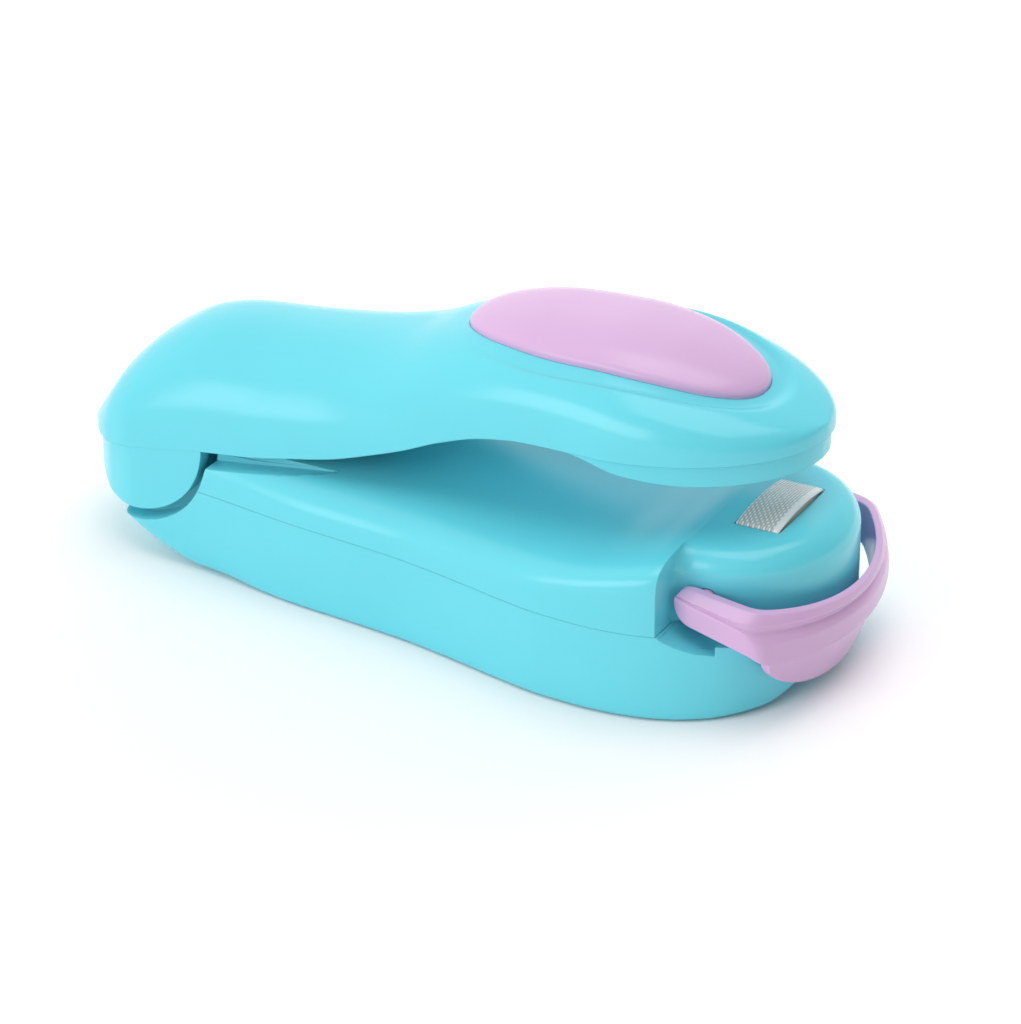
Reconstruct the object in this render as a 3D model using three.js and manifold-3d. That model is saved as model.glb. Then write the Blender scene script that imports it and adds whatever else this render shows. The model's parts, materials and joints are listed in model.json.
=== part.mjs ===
// Mini bag sealer: a hand-held lever that melts a bag shut between its nose and a heated strip.
// It is shown as it lies on a table, with the arm sprung open and the lock loop hanging in front.
// Millimetres, +Z up, nose towards +X. While the pieces are made, x is measured from the hinge axis.
import * as THREE from "three";
import { mergeVertices } from "three/addons/utils/BufferGeometryUtils.js";
import Module from "manifold-3d";

const wasm = await Module();
wasm.setup();

// Clearances that every piece shares
const fitGap = 0.3;
const slipGap = 0.12;
const touchGap = 0.05;
const overrun = 2;

// Two AA cells, head to tail, which set the length, width and height of the body
const cellRadius = 7.25;
const cellLength = 50.5;
const cellButtonRadius = 2.75;
const cellButtonLength = 1;
const cellRear = 24.2;
const cellFront = cellRear + cellLength;
const cellSpread = cellRadius + touchGap;
const cellLift = 0.1;
const cellRoom = 0.27;
const cellSideRoom = 0.02;

// Walls
const shellWall = 1.3;
const deckWall = 1.2;
const stepWall = 0.8;
const ledgeWall = 1.2;
const ribThickness = 1.2;
const headWall = 0.8;
const bossWall = 1.5;

// Battery door under the cells
const doorThickness = 1.2;
const doorRear = 24.6;
const doorLift = 2;
const doorOverlap = 0.9;
const doorFront = cellFront + doorOverlap;
const doorSideOverlap = 0.2;
const doorHalfWidth = 2 * cellRadius + doorSideOverlap;
const doorNotchRadius = 4;

// Body: lower shell, upper shell and nose
const bodyOverhang = 14.3;
const bodyReach = cellFront + bodyOverhang;
const bodyWaistShare = 0.715;
const bodyHalfWidth = (cellSpread + cellRadius + cellSideRoom + shellWall) / bodyWaistShare;
const deckWaistShare = 0.868;
const deckHeight = (doorThickness + cellLift + 2 * cellRadius + cellRoom + deckWall) / deckWaistShare;
const upperShellHeight = 8.9;
const partingHeight = deckHeight - upperShellHeight;
const frontBulgeShare = 0.74;
const frontPlanPower = 2.3;
const noseHalfWidth = 14.85;
const noseLip = 1.2;
const noseReach = bodyReach + noseLip;
const noseStart = cellFront + stepWall;
const noseStraight = 1.3;
const noseFillet = 3.2;
const ledgeSlope = 11;
const pocketLength = 6.1;
const pocketDepth = 2.35;

// Hinge at the rear end
const hingeSink = 3.6;
const hingeHeight = deckHeight - hingeSink;
const earRadius = 10.1;
const earThickness = 2.2;
const earRecessRadius = 11.3;
const studRadius = 2.5;
const studLength = 2.4;
const barrelRadius = 6;
const earSetback = 0.6;
const earGapHalf = 5.5;
const closingAngle = 4.8;

// Rebates in the deck that the arm's side walls close into
const rebateStart = 9.4;
const rebateEnd = 32.2;
const rebateStartHeight = 14;
const rebateEndHeight = 17.2;
const rebateSideWall = 0.3;
const rebateFloorWall = 0.9;

// Arm: lever shell with its tray, liner and thumb pad
const armOverhang = 12.3;
const armReach = cellFront + armOverhang;
const armHalfWidth = 15.5;
const armRise = 22.3;
const armWall = 1.8;
const armCrownWall = 2.8;
const armFrontShare = 0.756;
const trayDepth = 0.7;
const trayHalfLength = 21.9;
const trayHalfWidth = 12.4;
const padPlace = 60.2;
const padHalfLength = 18.9;
const padHalfWidth = 10.5;
const padDome = 2.6;
const padSeatDepth = 0.9;
const ovalPower = 2.35;
const padRim = 0.3;
const armPlanPower = 2;
const linerThickness = 1.4;
const linerRear = 33;
const bandStart = 60.5;
const bandInset = 0.5;

// Lock loop, hung on the sides of the nose
const loopPivotSetIn = 3.5;
const loopPivotPlace = noseStart + loopPivotSetIn;
const loopPivotSink = 5.7;
const loopPivotHeight = deckHeight - loopPivotSink;
const loopDroop = 14.5;
const loopInnerHalf = 15.15;
const loopReach = 12.5;
const loopHeight = 4.6;
const loopEndRadius = 2.8;
const loopEndDraw = 0.9;
const loopEndSlope = 0.38;
const loopStudRadius = 1.4;
const loopStudReach = 1.9;
const chinHalfWidth = 16;
const chinDepth = 6.4;
const chinThickness = 1.1;
const chinSetback = 0.6;

// Heated strip on its sprung carrier
const heaterSetIn = 5.8;
const heaterPlace = noseStart + heaterSetIn;
const heaterWidth = 5.1;
const heaterHalfLength = 5.7;
const heaterCrown = 0.55;
const heaterSink = 0.3;
const windowGap = 0.3;
const carrierFlange = 1.4;
const carrierSpread = 1.3;
const legThickness = 0.6;
const legWidth = 3.8;
const legDrop = 3.3;
const plungerWidth = 3;
const tapeThickness = 0.3;
const tapeOverlap = 0.2;
const tapeWidth = heaterWidth + 2 * tapeOverlap;
const tapeTail = 2.2;
const wireThickness = 0.2;
const wireWidth = 2.6;
const wireTail = 4.2;
const terminalThickness = 0.4;
const terminalWidth = 3.2;
const terminalHeight = 3;
const pressPadSetIn = 5;
const pressPadPlace = noseStart + pressPadSetIn;
const pressPadWidth = 6.4;
const pressPadHalfLength = 7.2;
const pressPadInset = 1.6;
const pressPadThickness = 1.3;
const pressPadRecess = 0.8;

// Switch under the carrier
const switchLength = 5.8;
const switchWidth = 3;
const switchBaseHalf = 1.7;
const switchGap = 1.5;

// Contacts at the ends of the cells
const contactThickness = 0.4;
const contactHalfWidth = 3.4;
const contactHalfHeight = 3.6;
const leafHalfWidth = 1.6;
const leafBow = 1;

// Springs
const returnSpringPlace = 18.8;
const returnSpringRadius = 3.2;
const returnSpringWire = 0.7;
const returnSpringTurns = 6;
const returnPegRadius = 1.7;
const returnPegLength = 2.5;
const springSink = 0.5;
const carrierSpringRadius = 1.4;
const carrierSpringWire = 0.45;
const carrierSpringTurns = 5;
const carrierSpringSpread = 3.5;
const carrierPegRadius = 0.8;
const carrierPegLength = 1.5;

// Screws
const screwRadius = 1.1;
const screwHeadRadius = 2.2;
const screwHeadHeight = 1.3;
const screwSlotWidth = 0.5;
const screwLength = 9;
const armScrewLength = 6;
const screwSink = 0.4;
const rearScrewPlace = 13.4;
const rearScrewSpread = 6.6;
const frontScrewSetIn = 4.7;
const frontScrewPlace = noseStart + frontScrewSetIn;
const frontScrewSpread = 10.2;
const armScrewShares = [0.494, 0.782];
const armScrewPlaces = armScrewShares.map((share) => share * armReach);

// How finely round forms are faceted
const roundSides = 24;
const smallRoundSides = 16;
const cellSides = 28;
const wireSides = 5;
const turnSteps = 8;
const planSteps = 18;
const bodySkinSteps = [28, 7, 5];
const bodyHollowSteps = [18, 5, 3];
const armSkinSteps = [32, 18];
const armHollowSteps = [20, 12];
const armSweepSteps = [18, 14];
const trayFloorSteps = [24, 16];

// Outlines, as [share of the reach, share of the size that the name gives]
const bodyHalfWidthShares = [
  [-0.108, 0.3],
  [-0.098, 0.42],
  [-0.07, 0.52],
  [-0.03, 0.585],
  [0.03, 0.6],
  [0.1, 0.612],
  [0.157, 0.64],
  [0.221, 0.682],
  [0.281, 0.718],
  [0.36, 0.75],
  [0.446, 0.79],
  [0.502, 0.83],
  [0.564, 0.885],
  [0.626, 0.943],
  [0.685, 0.987],
  [0.74, 1],
];
const bellyHeightShares = [
  [-0.108, 1.25],
  [-0.07, 0.82],
  [-0.036, 0.56],
  [0.011, 0.3],
  [0.065, 0.09],
  [0.11, 0],
  [0.9, 0],
  [0.96, 0.04],
  [0.99, 0.25],
  [1, 0.6],
];
const bellyPowerShares = [
  [-0.108, 10],
  [0.15, 14],
  [0.27, 36],
  [0.82, 36],
  [1, 10],
];
const waistHeightShares = [
  [-0.108, 1.4],
  [-0.05, 1.2],
  [0, 1.05],
  [0.06, 1],
  [1, 1],
];
const deckHeightShares = [
  [-0.108, 0.85],
  [-0.06, 1.02],
  [0, 1.1],
  [0.06, 0.98],
  [0.12, 0.875],
  [0.2, 0.868],
  [0.36, 0.872],
  [0.5, 0.88],
  [0.65, 0.9],
  [0.74, 0.925],
  [0.8, 0.965],
  [0.848, 0.995],
  [1, 1],
];
const shoulderPowerShares = [
  [-0.108, 3],
  [0.1, 3.6],
  [0.3, 3],
  [0.42, 3.2],
  [0.65, 4.5],
  [0.85, 8],
  [1, 8],
];
const armHalfWidthShares = [
  [-0.122, 0.207],
  [-0.115, 0.3],
  [-0.102, 0.41],
  [-0.077, 0.6],
  [-0.047, 0.744],
  [-0.005, 0.822],
  [0.03, 0.826],
  [0.11, 0.826],
  [0.24, 0.838],
  [0.39, 0.852],
  [0.526, 0.9],
  [0.62, 0.942],
  [0.7, 0.978],
  [0.756, 1],
];
const armFootShares = [
  [-0.122, -0.15],
  [0.04, -0.06],
  [0.11, -0.013],
  [0.19, 0.027],
  [0.247, 0.072],
  [0.328, 0.143],
  [0.393, 0.229],
  [0.44, 0.3],
  [0.503, 0.413],
  [0.568, 0.502],
  [0.632, 0.547],
  [0.695, 0.561],
  [0.756, 0.57],
  [0.86, 0.592],
  [1, 0.619],
];
const armCrownShares = [
  [-0.122, -0.14],
  [-0.115, -0.1],
  [-0.102, -0.02],
  [-0.077, 0.12],
  [-0.047, 0.28],
  [0, 0.441],
  [0.05, 0.548],
  [0.1, 0.596],
  [0.2, 0.637],
  [0.3, 0.691],
  [0.39, 0.762],
  [0.45, 0.852],
  [0.52, 0.935],
  [0.6, 0.985],
  [0.695, 1],
  [0.78, 0.973],
  [0.87, 0.895],
  [0.945, 0.8],
  [0.98, 0.752],
  [1, 0.717],
];
const armPowerShares = [
  [-0.122, 2.3],
  [0.3, 2.2],
  [0.55, 3],
  [0.8, 3],
  [1, 2.4],
];
const linerFootShares = [
  [0.37, 0.3],
  [0.5, 0.46],
  [0.6, 0.545],
  [0.695, 0.545],
  [0.78, 0.49],
  [0.86, 0.475],
  [1, 0.5],
];

// Lines along the lock loop, as shares of its reach at the corner and at the front, of its inner
// half width, and of its height on the arms and at the front
const loopLineShares = [
  [0.513, 1, 1, 0.435, 0.446],
  [0.516, 1.07, 1.08, 0.457, 0.435],
  [0.522, 1.1, 1.18, 0.23, 0.24],
  [0.6, 1.105, 1.18, 0.06, 0.03],
  [0.65, 1.135, 1.18, -0.12, -0.13],
  [0.76, 1.18, 1.18, -0.56, -0.69],
  [0.736, 1.155, 1.15, -0.63, -0.78],
  [0.592, 1.05, 1, -0.63, -0.78],
];

// Smooth value at a place along a table of pairs, with no overshoot between them
function along(pairs, place) {
  const last = pairs.length - 1;
  if (place <= pairs[0][0]) return pairs[0][1];
  if (place >= pairs[last][0]) return pairs[last][1];
  const slopes = pairs.slice(1).map(([x, y], i) => (y - pairs[i][1]) / (x - pairs[i][0]));
  const tangent = (i) => {
    if (i === 0) return slopes[0];
    if (i === last) return slopes[last - 1];
    const [before, after] = [slopes[i - 1], slopes[i]];
    return before * after <= 0 ? 0 : (2 * before * after) / (before + after);
  };
  const i = pairs.findIndex(([x]) => x > place) - 1;
  const width = pairs[i + 1][0] - pairs[i][0];
  const t = (place - pairs[i][0]) / width;
  const near = (1 + 2 * t) * (1 - t) ** 2 * pairs[i][1] + t * (1 - t) ** 2 * width * tangent(i);
  const far = t * t * (3 - 2 * t) * pairs[i + 1][1] - t * t * (1 - t) * width * tangent(i + 1);
  return near + far;
}

// Half width of a rounded end, from 1 where it starts to 0 at its tip
function roundedEnd(t, power) {
  return Math.max(0, 1 - Math.max(0, t) ** power) ** (1 / power);
}

function signedPower(value, power) {
  return Math.sign(value) * Math.abs(value) ** power;
}

// Closed surface through rings of as many points each, with a cap on both ends
function loft(rings) {
  const count = rings[0].length;
  const points = rings.flat();
  const faces = [];
  for (let r = 0; r + 1 < rings.length; r++) {
    for (let k = 0; k < count; k++) {
      const a = r * count + k;
      const b = r * count + ((k + 1) % count);
      faces.push(a, b, b + count, a, b + count, a + count);
    }
  }
  for (const [ring, flip] of [[0, true], [rings.length - 1, false]]) {
    const centre = new THREE.Vector3();
    rings[ring].forEach((p) => centre.addScaledVector(p, 1 / count));
    points.push(centre);
    for (let k = 0; k < count; k++) {
      const a = ring * count + k;
      const b = ring * count + ((k + 1) % count);
      if (flip) faces.push(b, a, points.length - 1);
      else faces.push(a, b, points.length - 1);
    }
  }
  const geometry = new THREE.BufferGeometry().setFromPoints(points);
  geometry.setIndex(faces);
  return geometry;
}

// Solid of a closed geometry, turned so that its faces point out
function solid(geometry) {
  const bare = geometry.clone();
  for (const name of Object.keys(bare.attributes)) {
    if (name !== "position") bare.deleteAttribute(name);
  }
  const merged = mergeVertices(bare, 1e-5);
  const corners = merged.index.array;
  const at = (i) => new THREE.Vector3().fromBufferAttribute(merged.attributes.position, corners[i]);
  const kept = [];
  let volume = 0;
  for (let i = 0; i < corners.length; i += 3) {
    const [a, b, c] = [corners[i], corners[i + 1], corners[i + 2]];
    if (a === b || b === c || c === a) continue;
    kept.push(a, b, c);
    volume += at(i).dot(at(i + 1).cross(at(i + 2)));
  }
  if (volume < 0) kept.reverse();
  return new wasm.Manifold(
    new wasm.Mesh({
      numProp: 3,
      vertProperties: new Float32Array(merged.attributes.position.array),
      triVerts: new Uint32Array(kept),
    }),
  );
}

function joined(first, ...others) {
  return others.reduce((sum, other) => sum.add(other), first);
}

function without(first, ...others) {
  return others.reduce((rest, other) => rest.subtract(other), first);
}

// Largest body of a form that cuts have left slivers of
function mainBody(form) {
  return form.decompose().reduce((best, part) => (part.volume() > best.volume() ? part : best));
}

// Box between two corners
function block([x0, y0, z0], [x1, y1, z1]) {
  const geometry = new THREE.BoxGeometry(x1 - x0, y1 - y0, z1 - z0);
  return solid(geometry.translate((x0 + x1) / 2, (y0 + y1) / 2, (z0 + z1) / 2));
}

function uprightRod(radius, x, y, low, high, sides = roundSides) {
  const geometry = new THREE.CylinderGeometry(radius, radius, high - low, sides);
  geometry.rotateX(Math.PI / 2);
  return solid(geometry.translate(x, y, (low + high) / 2));
}

function crossRod(radius, x, y0, y1, z, sides = roundSides) {
  const geometry = new THREE.CylinderGeometry(radius, radius, Math.abs(y1 - y0), sides);
  return solid(geometry.translate(x, (y0 + y1) / 2, z));
}

function lengthRod(radius, x0, x1, y, z, sides = roundSides) {
  const geometry = new THREE.CylinderGeometry(radius, radius, x1 - x0, sides);
  geometry.rotateZ(Math.PI / 2);
  return solid(geometry.translate((x0 + x1) / 2, y, z));
}

// Plate with its outline in x and z, between two places across the width
function sidePlate(outline, y0, y1) {
  const shape = new THREE.Shape(outline.map(([x, z]) => new THREE.Vector2(x, z)));
  const geometry = new THREE.ExtrudeGeometry(shape, { depth: y1 - y0, bevelEnabled: false });
  geometry.rotateX(Math.PI / 2);
  return solid(geometry.translate(0, y1, 0));
}

// Upright prism over an outline in x and y
function prism(outline, low, high) {
  const shape = new THREE.Shape(outline.map(([x, y]) => new THREE.Vector2(x, y)));
  const geometry = new THREE.ExtrudeGeometry(shape, { depth: high - low, bevelEnabled: false });
  return solid(geometry.translate(0, 0, low));
}

function oval(place, halfLength, halfWidth, sides = 2 * roundSides) {
  return Array.from({ length: sides }, (_, i) => {
    const turn = (2 * Math.PI * i) / sides;
    const x = place + halfLength * signedPower(Math.cos(turn), 2 / ovalPower);
    return [x, halfWidth * signedPower(Math.sin(turn), 2 / ovalPower)];
  });
}

// Both sides of something made for one side, told apart by a sign
function bothSides(make) {
  return joined(make(1), make(-1));
}

// Least distance between points of a wound wire that lie at least half a turn apart along it
function gapToItself(rings) {
  let least = Infinity;
  rings.forEach((ring, i) => {
    for (const other of rings.slice(i + 1 + turnSteps / 2)) {
      for (const p of ring) {
        for (const q of other) least = Math.min(least, p.distanceTo(q));
      }
    }
  });
  return least;
}

// Round wire wound about an upright axis
function coil(name, radius, wire, turns, low, high) {
  const steps = turns * turnSteps;
  const rings = Array.from({ length: steps + 1 }, (_, i) => {
    const turn = (2 * Math.PI * i) / turnSteps;
    const out = new THREE.Vector3(Math.cos(turn), Math.sin(turn), 0);
    const centre = out.clone().multiplyScalar(radius);
    centre.z = low + wire / 2 + ((high - low - wire) * i) / steps;
    return Array.from({ length: wireSides }, (_, k) => {
      const side = (2 * Math.PI * k) / wireSides;
      const point = centre.clone().addScaledVector(out, (Math.cos(side) * wire) / 2);
      point.z += (Math.sin(side) * wire) / 2;
      return point;
    });
  });
  console.log(name + ": least gap to itself " + gapToItself(rings).toFixed(2) + " mm");
  return solid(loft(rings));
}

// Places along a form, closer together at its two round ends
function stations(rear, front, count) {
  const endShare = 0.55;
  return Array.from({ length: count + 1 }, (_, i) => {
    const even = i / count;
    const eased = (1 - Math.cos(Math.PI * even)) / 2;
    return rear + (front - rear) * ((1 - endShare) * even + endShare * eased);
  });
}

const wide = bodyReach * 2;

// All the space behind a place
function behind(x) {
  return block([-wide, -wide, -wide], [x, wide, wide]);
}

// Half width of a plan that follows a table and ends in a round front, drawn in by a wall
function planHalf(x, inset, plan) {
  const start = plan.frontShare * plan.reach;
  if (x <= start) return plan.half * along(plan.shares, x / plan.reach) - inset;
  return (plan.half - inset) * roundedEnd((x - start) / (plan.reach - inset - start), plan.power);
}

const bodyPlan = {
  reach: bodyReach,
  half: bodyHalfWidth,
  shares: bodyHalfWidthShares,
  frontShare: frontBulgeShare,
  power: frontPlanPower,
};
const armPlan = {
  reach: armReach,
  half: armHalfWidth,
  shares: armHalfWidthShares,
  frontShare: armFrontShare,
  power: armPlanPower,
};
const bodyRear = bodyReach * bodyHalfWidthShares[0][0];
const armRear = armReach * armHalfWidthShares[0][0];

function bodyHalf(x, inset = 0) {
  return Math.max(planHalf(x, inset, bodyPlan), touchGap);
}

function armHalf(x, inset = 0) {
  return Math.max(planHalf(x, inset, armPlan), touchGap);
}

function deckAt(x) {
  return deckHeight * along(deckHeightShares, x / bodyReach);
}

// Body form, or with walls given the hollow inside it
function bodyForm(sideWall, topWall, rear, front, [count, upper, lower]) {
  const rings = stations(rear, front, count).map((x) => {
    const share = x / bodyReach;
    const half = bodyHalf(x, sideWall);
    const waist = partingHeight * along(waistHeightShares, share);
    const belly = Math.min(partingHeight * along(bellyHeightShares, share) + sideWall, waist);
    const rise = deckAt(x) - topWall - waist;
    const power = along(shoulderPowerShares, share);
    const bellyPower = along(bellyPowerShares, share);
    const ring = [];
    for (let i = 0; i <= 2 * upper; i++) {
      const turn = (Math.PI * i) / (2 * upper);
      const y = half * signedPower(Math.cos(turn), 2 / power);
      ring.push(new THREE.Vector3(x, y, waist + rise * Math.abs(Math.sin(turn)) ** (2 / power)));
    }
    for (let i = 1; i < 2 * lower; i++) {
      const turn = (Math.PI * i) / (2 * lower);
      const y = -half * signedPower(Math.cos(turn), 2 / bellyPower);
      ring.push(new THREE.Vector3(x, y, waist - (waist - belly) * Math.sin(turn) ** (2 / bellyPower)));
    }
    return ring;
  });
  return solid(loft(rings));
}

// Plan of the nose: straight sides, then half an oval
function nosePlan(inset) {
  const steps = 18;
  const centre = noseStart + noseStraight;
  const half = noseHalfWidth - inset;
  const points = [[noseStart - overrun, -half]];
  for (let i = 0; i <= steps; i++) {
    const turn = -Math.PI / 2 + (Math.PI * i) / steps;
    points.push([centre + (noseReach - inset - centre) * Math.cos(turn), half * Math.sin(turn)]);
  }
  points.push([noseStart - overrun, half]);
  return points;
}

// Nose block with a round upper edge
function noseForm(inset, low, top, fillet) {
  const steps = 4;
  const levels = [[low, 0]];
  for (let i = 0; i <= steps; i++) {
    const turn = (Math.PI * i) / (2 * steps);
    levels.push([top - fillet * (1 - Math.sin(turn)), fillet * (1 - Math.cos(turn))]);
  }
  const rings = levels.map(([z, draw]) => {
    return nosePlan(inset + draw).map(([x, y]) => new THREE.Vector3(x, y, z));
  });
  return solid(loft(rings));
}

// Space below the parting plane, which falls towards the front beside the nose
function belowParting(drop) {
  const high = partingHeight - drop;
  const front = bodyReach + overrun;
  const fall = (front - noseStart) * Math.tan(THREE.MathUtils.degToRad(ledgeSlope));
  const outline = [
    [-wide, -wide],
    [front, -wide],
    [front, high - fall],
    [noseStart, high],
    [-wide, high],
  ];
  return sidePlate(outline, -wide, wide);
}

const rimGap = fitGap / 2;
const screwClear = screwRadius + slipGap;
const headClear = screwHeadRadius + slipGap;
const headSeat = screwSink + screwHeadHeight;
const caseScrewPlaces = [
  ["rear_left", rearScrewPlace, rearScrewSpread],
  ["rear_right", rearScrewPlace, -rearScrewSpread],
  ["front_left", frontScrewPlace, frontScrewSpread],
  ["front_right", frontScrewPlace, -frontScrewSpread],
];

// Outline of the battery door, drawn in where the body is narrow
function doorPlan(grow) {
  const steps = 12;
  const length = doorFront - doorRear + 2 * grow;
  const side = Array.from({ length: steps + 1 }, (_, i) => {
    const x = doorRear - grow + (length * i) / steps;
    return [x, Math.min(doorHalfWidth, bodyHalf(x, shellWall)) + grow];
  });
  return [...side.map(([x, y]) => [x, -y]), ...side.reverse()];
}

// Round clearance for the arm's ears, which keeps the tongue between them
function earRecess() {
  const rings = stations(armRear, earRecessRadius + overrun, planSteps).map((x) => {
    const half = armHalf(x - earSetback, earThickness + fitGap);
    const corners = [[half, 0], [half, wide], [-half, wide], [-half, 0]];
    return corners.map(([y, z]) => new THREE.Vector3(x, y, z));
  });
  const disc = crossRod(earRecessRadius, 0, -wide, wide, hingeHeight, 2 * roundSides);
  return disc.subtract(solid(loft(rings)));
}

// Rebate in each side of the deck that the arm's side wall closes into
function rebates(grow, drop) {
  const inner = armHalf(rebateStart, armWall) - fitGap - grow;
  const outline = [
    [rebateStart - overrun, rebateStartHeight - drop],
    [rebateStart, rebateStartHeight - drop],
    [rebateEnd, rebateEndHeight - drop],
    [rebateEnd + overrun, rebateEndHeight + overrun],
    [rebateEnd + overrun, wide],
    [rebateStart - overrun, wide],
  ];
  return bothSides((side) => sidePlate(outline, side > 0 ? inner : -wide, side > 0 ? wide : -inner));
}

const wholeBody = bodyForm(0, 0, bodyRear, bodyReach, bodySkinSteps);
const bodyHollow = bodyForm(shellWall, deckWall, rebateStart, bodyReach - shellWall, bodyHollowSteps);
const noseHollow = noseForm(shellWall, shellWall, deckHeight - deckWall, noseFillet - deckWall);
const noseSpace = joined(bodyHollow.intersect(behind(noseStart - stepWall)), noseHollow);
const noseWell = noseForm(noseReach - bodyReach + 2 * shellWall, shellWall, deckHeight, noseFillet);
const lowerHollow = bodyHollow.intersect(joined(behind(noseStart), belowParting(ledgeWall), noseWell));

const springSeatHeight = deckAt(returnSpringPlace) - springSink;
const springCeiling = armCrown(returnSpringPlace) - armCrownWall - returnPegRadius;
const postTop = partingHeight;
const postRadius = carrierSpringRadius + carrierSpringWire;
const pocketShares = [
  [0.06, 0.1],
  [0.35, 0.5],
  [0.7, 0.85],
  [1, 1],
];

// Pocket in the rim on each side of the nose
function pockets() {
  const low = pocketShares.map(([x, z]) => [noseStart + x * pocketLength, partingHeight - z * pocketDepth]);
  const outline = [
    [low[0][0], partingHeight + overrun],
    ...low,
    [noseStart + pocketLength, partingHeight + overrun],
  ];
  const inner = noseHalfWidth - shellWall;
  return bothSides((side) => sidePlate(outline, side > 0 ? inner : -wide, side > 0 ? wide : -inner));
}

// Upright rib across the shell, up to the parting plane
function crossRib(x) {
  return block([x, -wide, shellWall / 2], [x + ribThickness, wide, partingHeight]);
}

const rearRib = cellRear - 2 * contactThickness - ribThickness;
const contactFront = cellFront + leafBow + touchGap;
const frontRib = contactFront + contactThickness + touchGap;

function lowerShell() {
  const limit = wholeBody.intersect(belowParting(rimGap));
  let shell = limit.subtract(lowerHollow);
  for (const [, x, y] of caseScrewPlaces) {
    const boss = uprightRod(headClear + headWall, x, y, shellWall / 2, partingHeight);
    shell = shell.add(boss.intersect(limit));
  }
  shell = joined(shell, crossRib(rearRib).intersect(limit), crossRib(frontRib).intersect(limit));
  const posts = bothSides((side) => {
    const y = side * carrierSpringSpread;
    const post = uprightRod(postRadius, heaterPlace, y, shellWall / 2, postTop);
    const pegTop = postTop + carrierPegLength;
    return post.add(uprightRod(carrierPegRadius, heaterPlace, y, shellWall / 2, pegTop));
  });
  const base = block(
    [heaterPlace - switchLength / 2, -switchBaseHalf, shellWall / 2],
    [heaterPlace + switchLength / 2, switchBaseHalf, postTop],
  );
  shell = joined(shell, posts, base);
  for (const [, x, y] of caseScrewPlaces) {
    shell = shell.subtract(uprightRod(headClear, x, y, -overrun, headSeat + slipGap));
    shell = shell.subtract(uprightRod(screwClear, x, y, -overrun, partingHeight + overrun));
  }
  const opening = prism(doorPlan(rimGap), -overrun, doorLift);
  return without(shell, pockets(), opening, earRecess());
}

// Everything that the closing arm sweeps, with a gap about it
function armSweep() {
  const outer = armForm(-fitGap, () => -fitGap, 0, armRear - fitGap, rebateEnd, armSweepSteps);
  const crownWall = () => armCrownWall + 2 * fitGap;
  const [rear, front] = [armRear - overrun, rebateEnd + overrun];
  const inner = armForm(armWall + 2 * fitGap, crownWall, wide, rear, front, armSweepSteps);
  const wall = outer.subtract(inner);
  const turned = [0, 1 / 2, 1].map((share) => wall.rotate([0, share * closingAngle, 0]));
  return joined(...turned.map((form) => form.translate([0, 0, hingeHeight])));
}

function upperShell() {
  const nose = noseForm(0, shellWall, deckHeight, noseFillet).subtract(behind(noseStart));
  const limit = wholeBody.intersect(behind(noseStart)).add(nose).subtract(belowParting(-rimGap));
  const space = noseSpace.subtract(rebates(rebateSideWall, rebateFloorWall));
  let shell = limit.subtract(space);
  for (const [, x, y] of caseScrewPlaces) {
    const boss = uprightRod(screwRadius + bossWall, x, y, 0, wide);
    shell = shell.add(boss.intersect(limit));
  }
  for (const [, x, y] of caseScrewPlaces) {
    shell = shell.subtract(uprightRod(screwClear, x, y, 0, headSeat + screwLength + fitGap));
  }
  const halfX = tapeWidth / 2 + windowGap;
  const halfY = stripHalf(tapeLift + tapeThickness) + windowGap;
  const window = block(
    [heaterPlace - halfX, -halfY, deckHeight - 2 * deckWall],
    [heaterPlace + halfX, halfY, deckHeight + overrun],
  );
  const studHoles = crossRod(studRadius + slipGap, 0, -wide, wide, hingeHeight);
  const loopHoles = crossRod(loopStudRadius + slipGap, loopPivotPlace, -wide, wide, loopPivotHeight);
  const seatRadius = returnSpringRadius + returnSpringWire;
  const springSeat = uprightRod(seatRadius, returnSpringPlace, 0, springSeatHeight, wide);
  const pegLow = springSeatHeight - touchGap;
  const pegTop = springSeatHeight + returnPegLength;
  const peg = uprightRod(returnPegRadius, returnSpringPlace, 0, pegLow, pegTop);
  const round = crossRod(barrelRadius, 0, -wide, wide, hingeHeight, 2 * roundSides);
  const rear = block([-wide, -wide, 0], [0, wide, wide]).subtract(round);
  shell = without(shell, rear, earRecess(), armSweep(), rebates(0, 0));
  return mainBody(without(shell, window, studHoles, loopHoles, springSeat)).add(peg);
}

function batteryDoor() {
  const plate = prism(doorPlan(-rimGap), -overrun, doorThickness).intersect(wholeBody);
  const rear = doorRear + rimGap + doorThickness / 2;
  const round = crossRod(doorThickness / 2, rear, -wide, wide, doorThickness / 2, smallRoundSides);
  const square = block([doorRear, -wide, -overrun], [rear, wide, doorThickness + overrun]);
  const notch = uprightRod(doorNotchRadius, doorFront, 0, -overrun, doorThickness / 2);
  return without(plate, square.subtract(round), notch);
}

function armFoot(x) {
  return hingeHeight + armRise * along(armFootShares, x / armReach);
}

function armCrown(x) {
  return hingeHeight + armRise * along(armCrownShares, x / armReach);
}

function linerFoot(x) {
  return hingeHeight + armRise * along(linerFootShares, x / armReach);
}

// Height of the arm's skin at a point of its plan, sunk by a depth
function armSkin(x, y, sunk) {
  const power = along(armPowerShares, x / armReach);
  const foot = armFoot(x);
  return foot + (armCrown(x) - sunk - foot) * roundedEnd(Math.abs(y) / armHalf(x), power);
}

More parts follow.
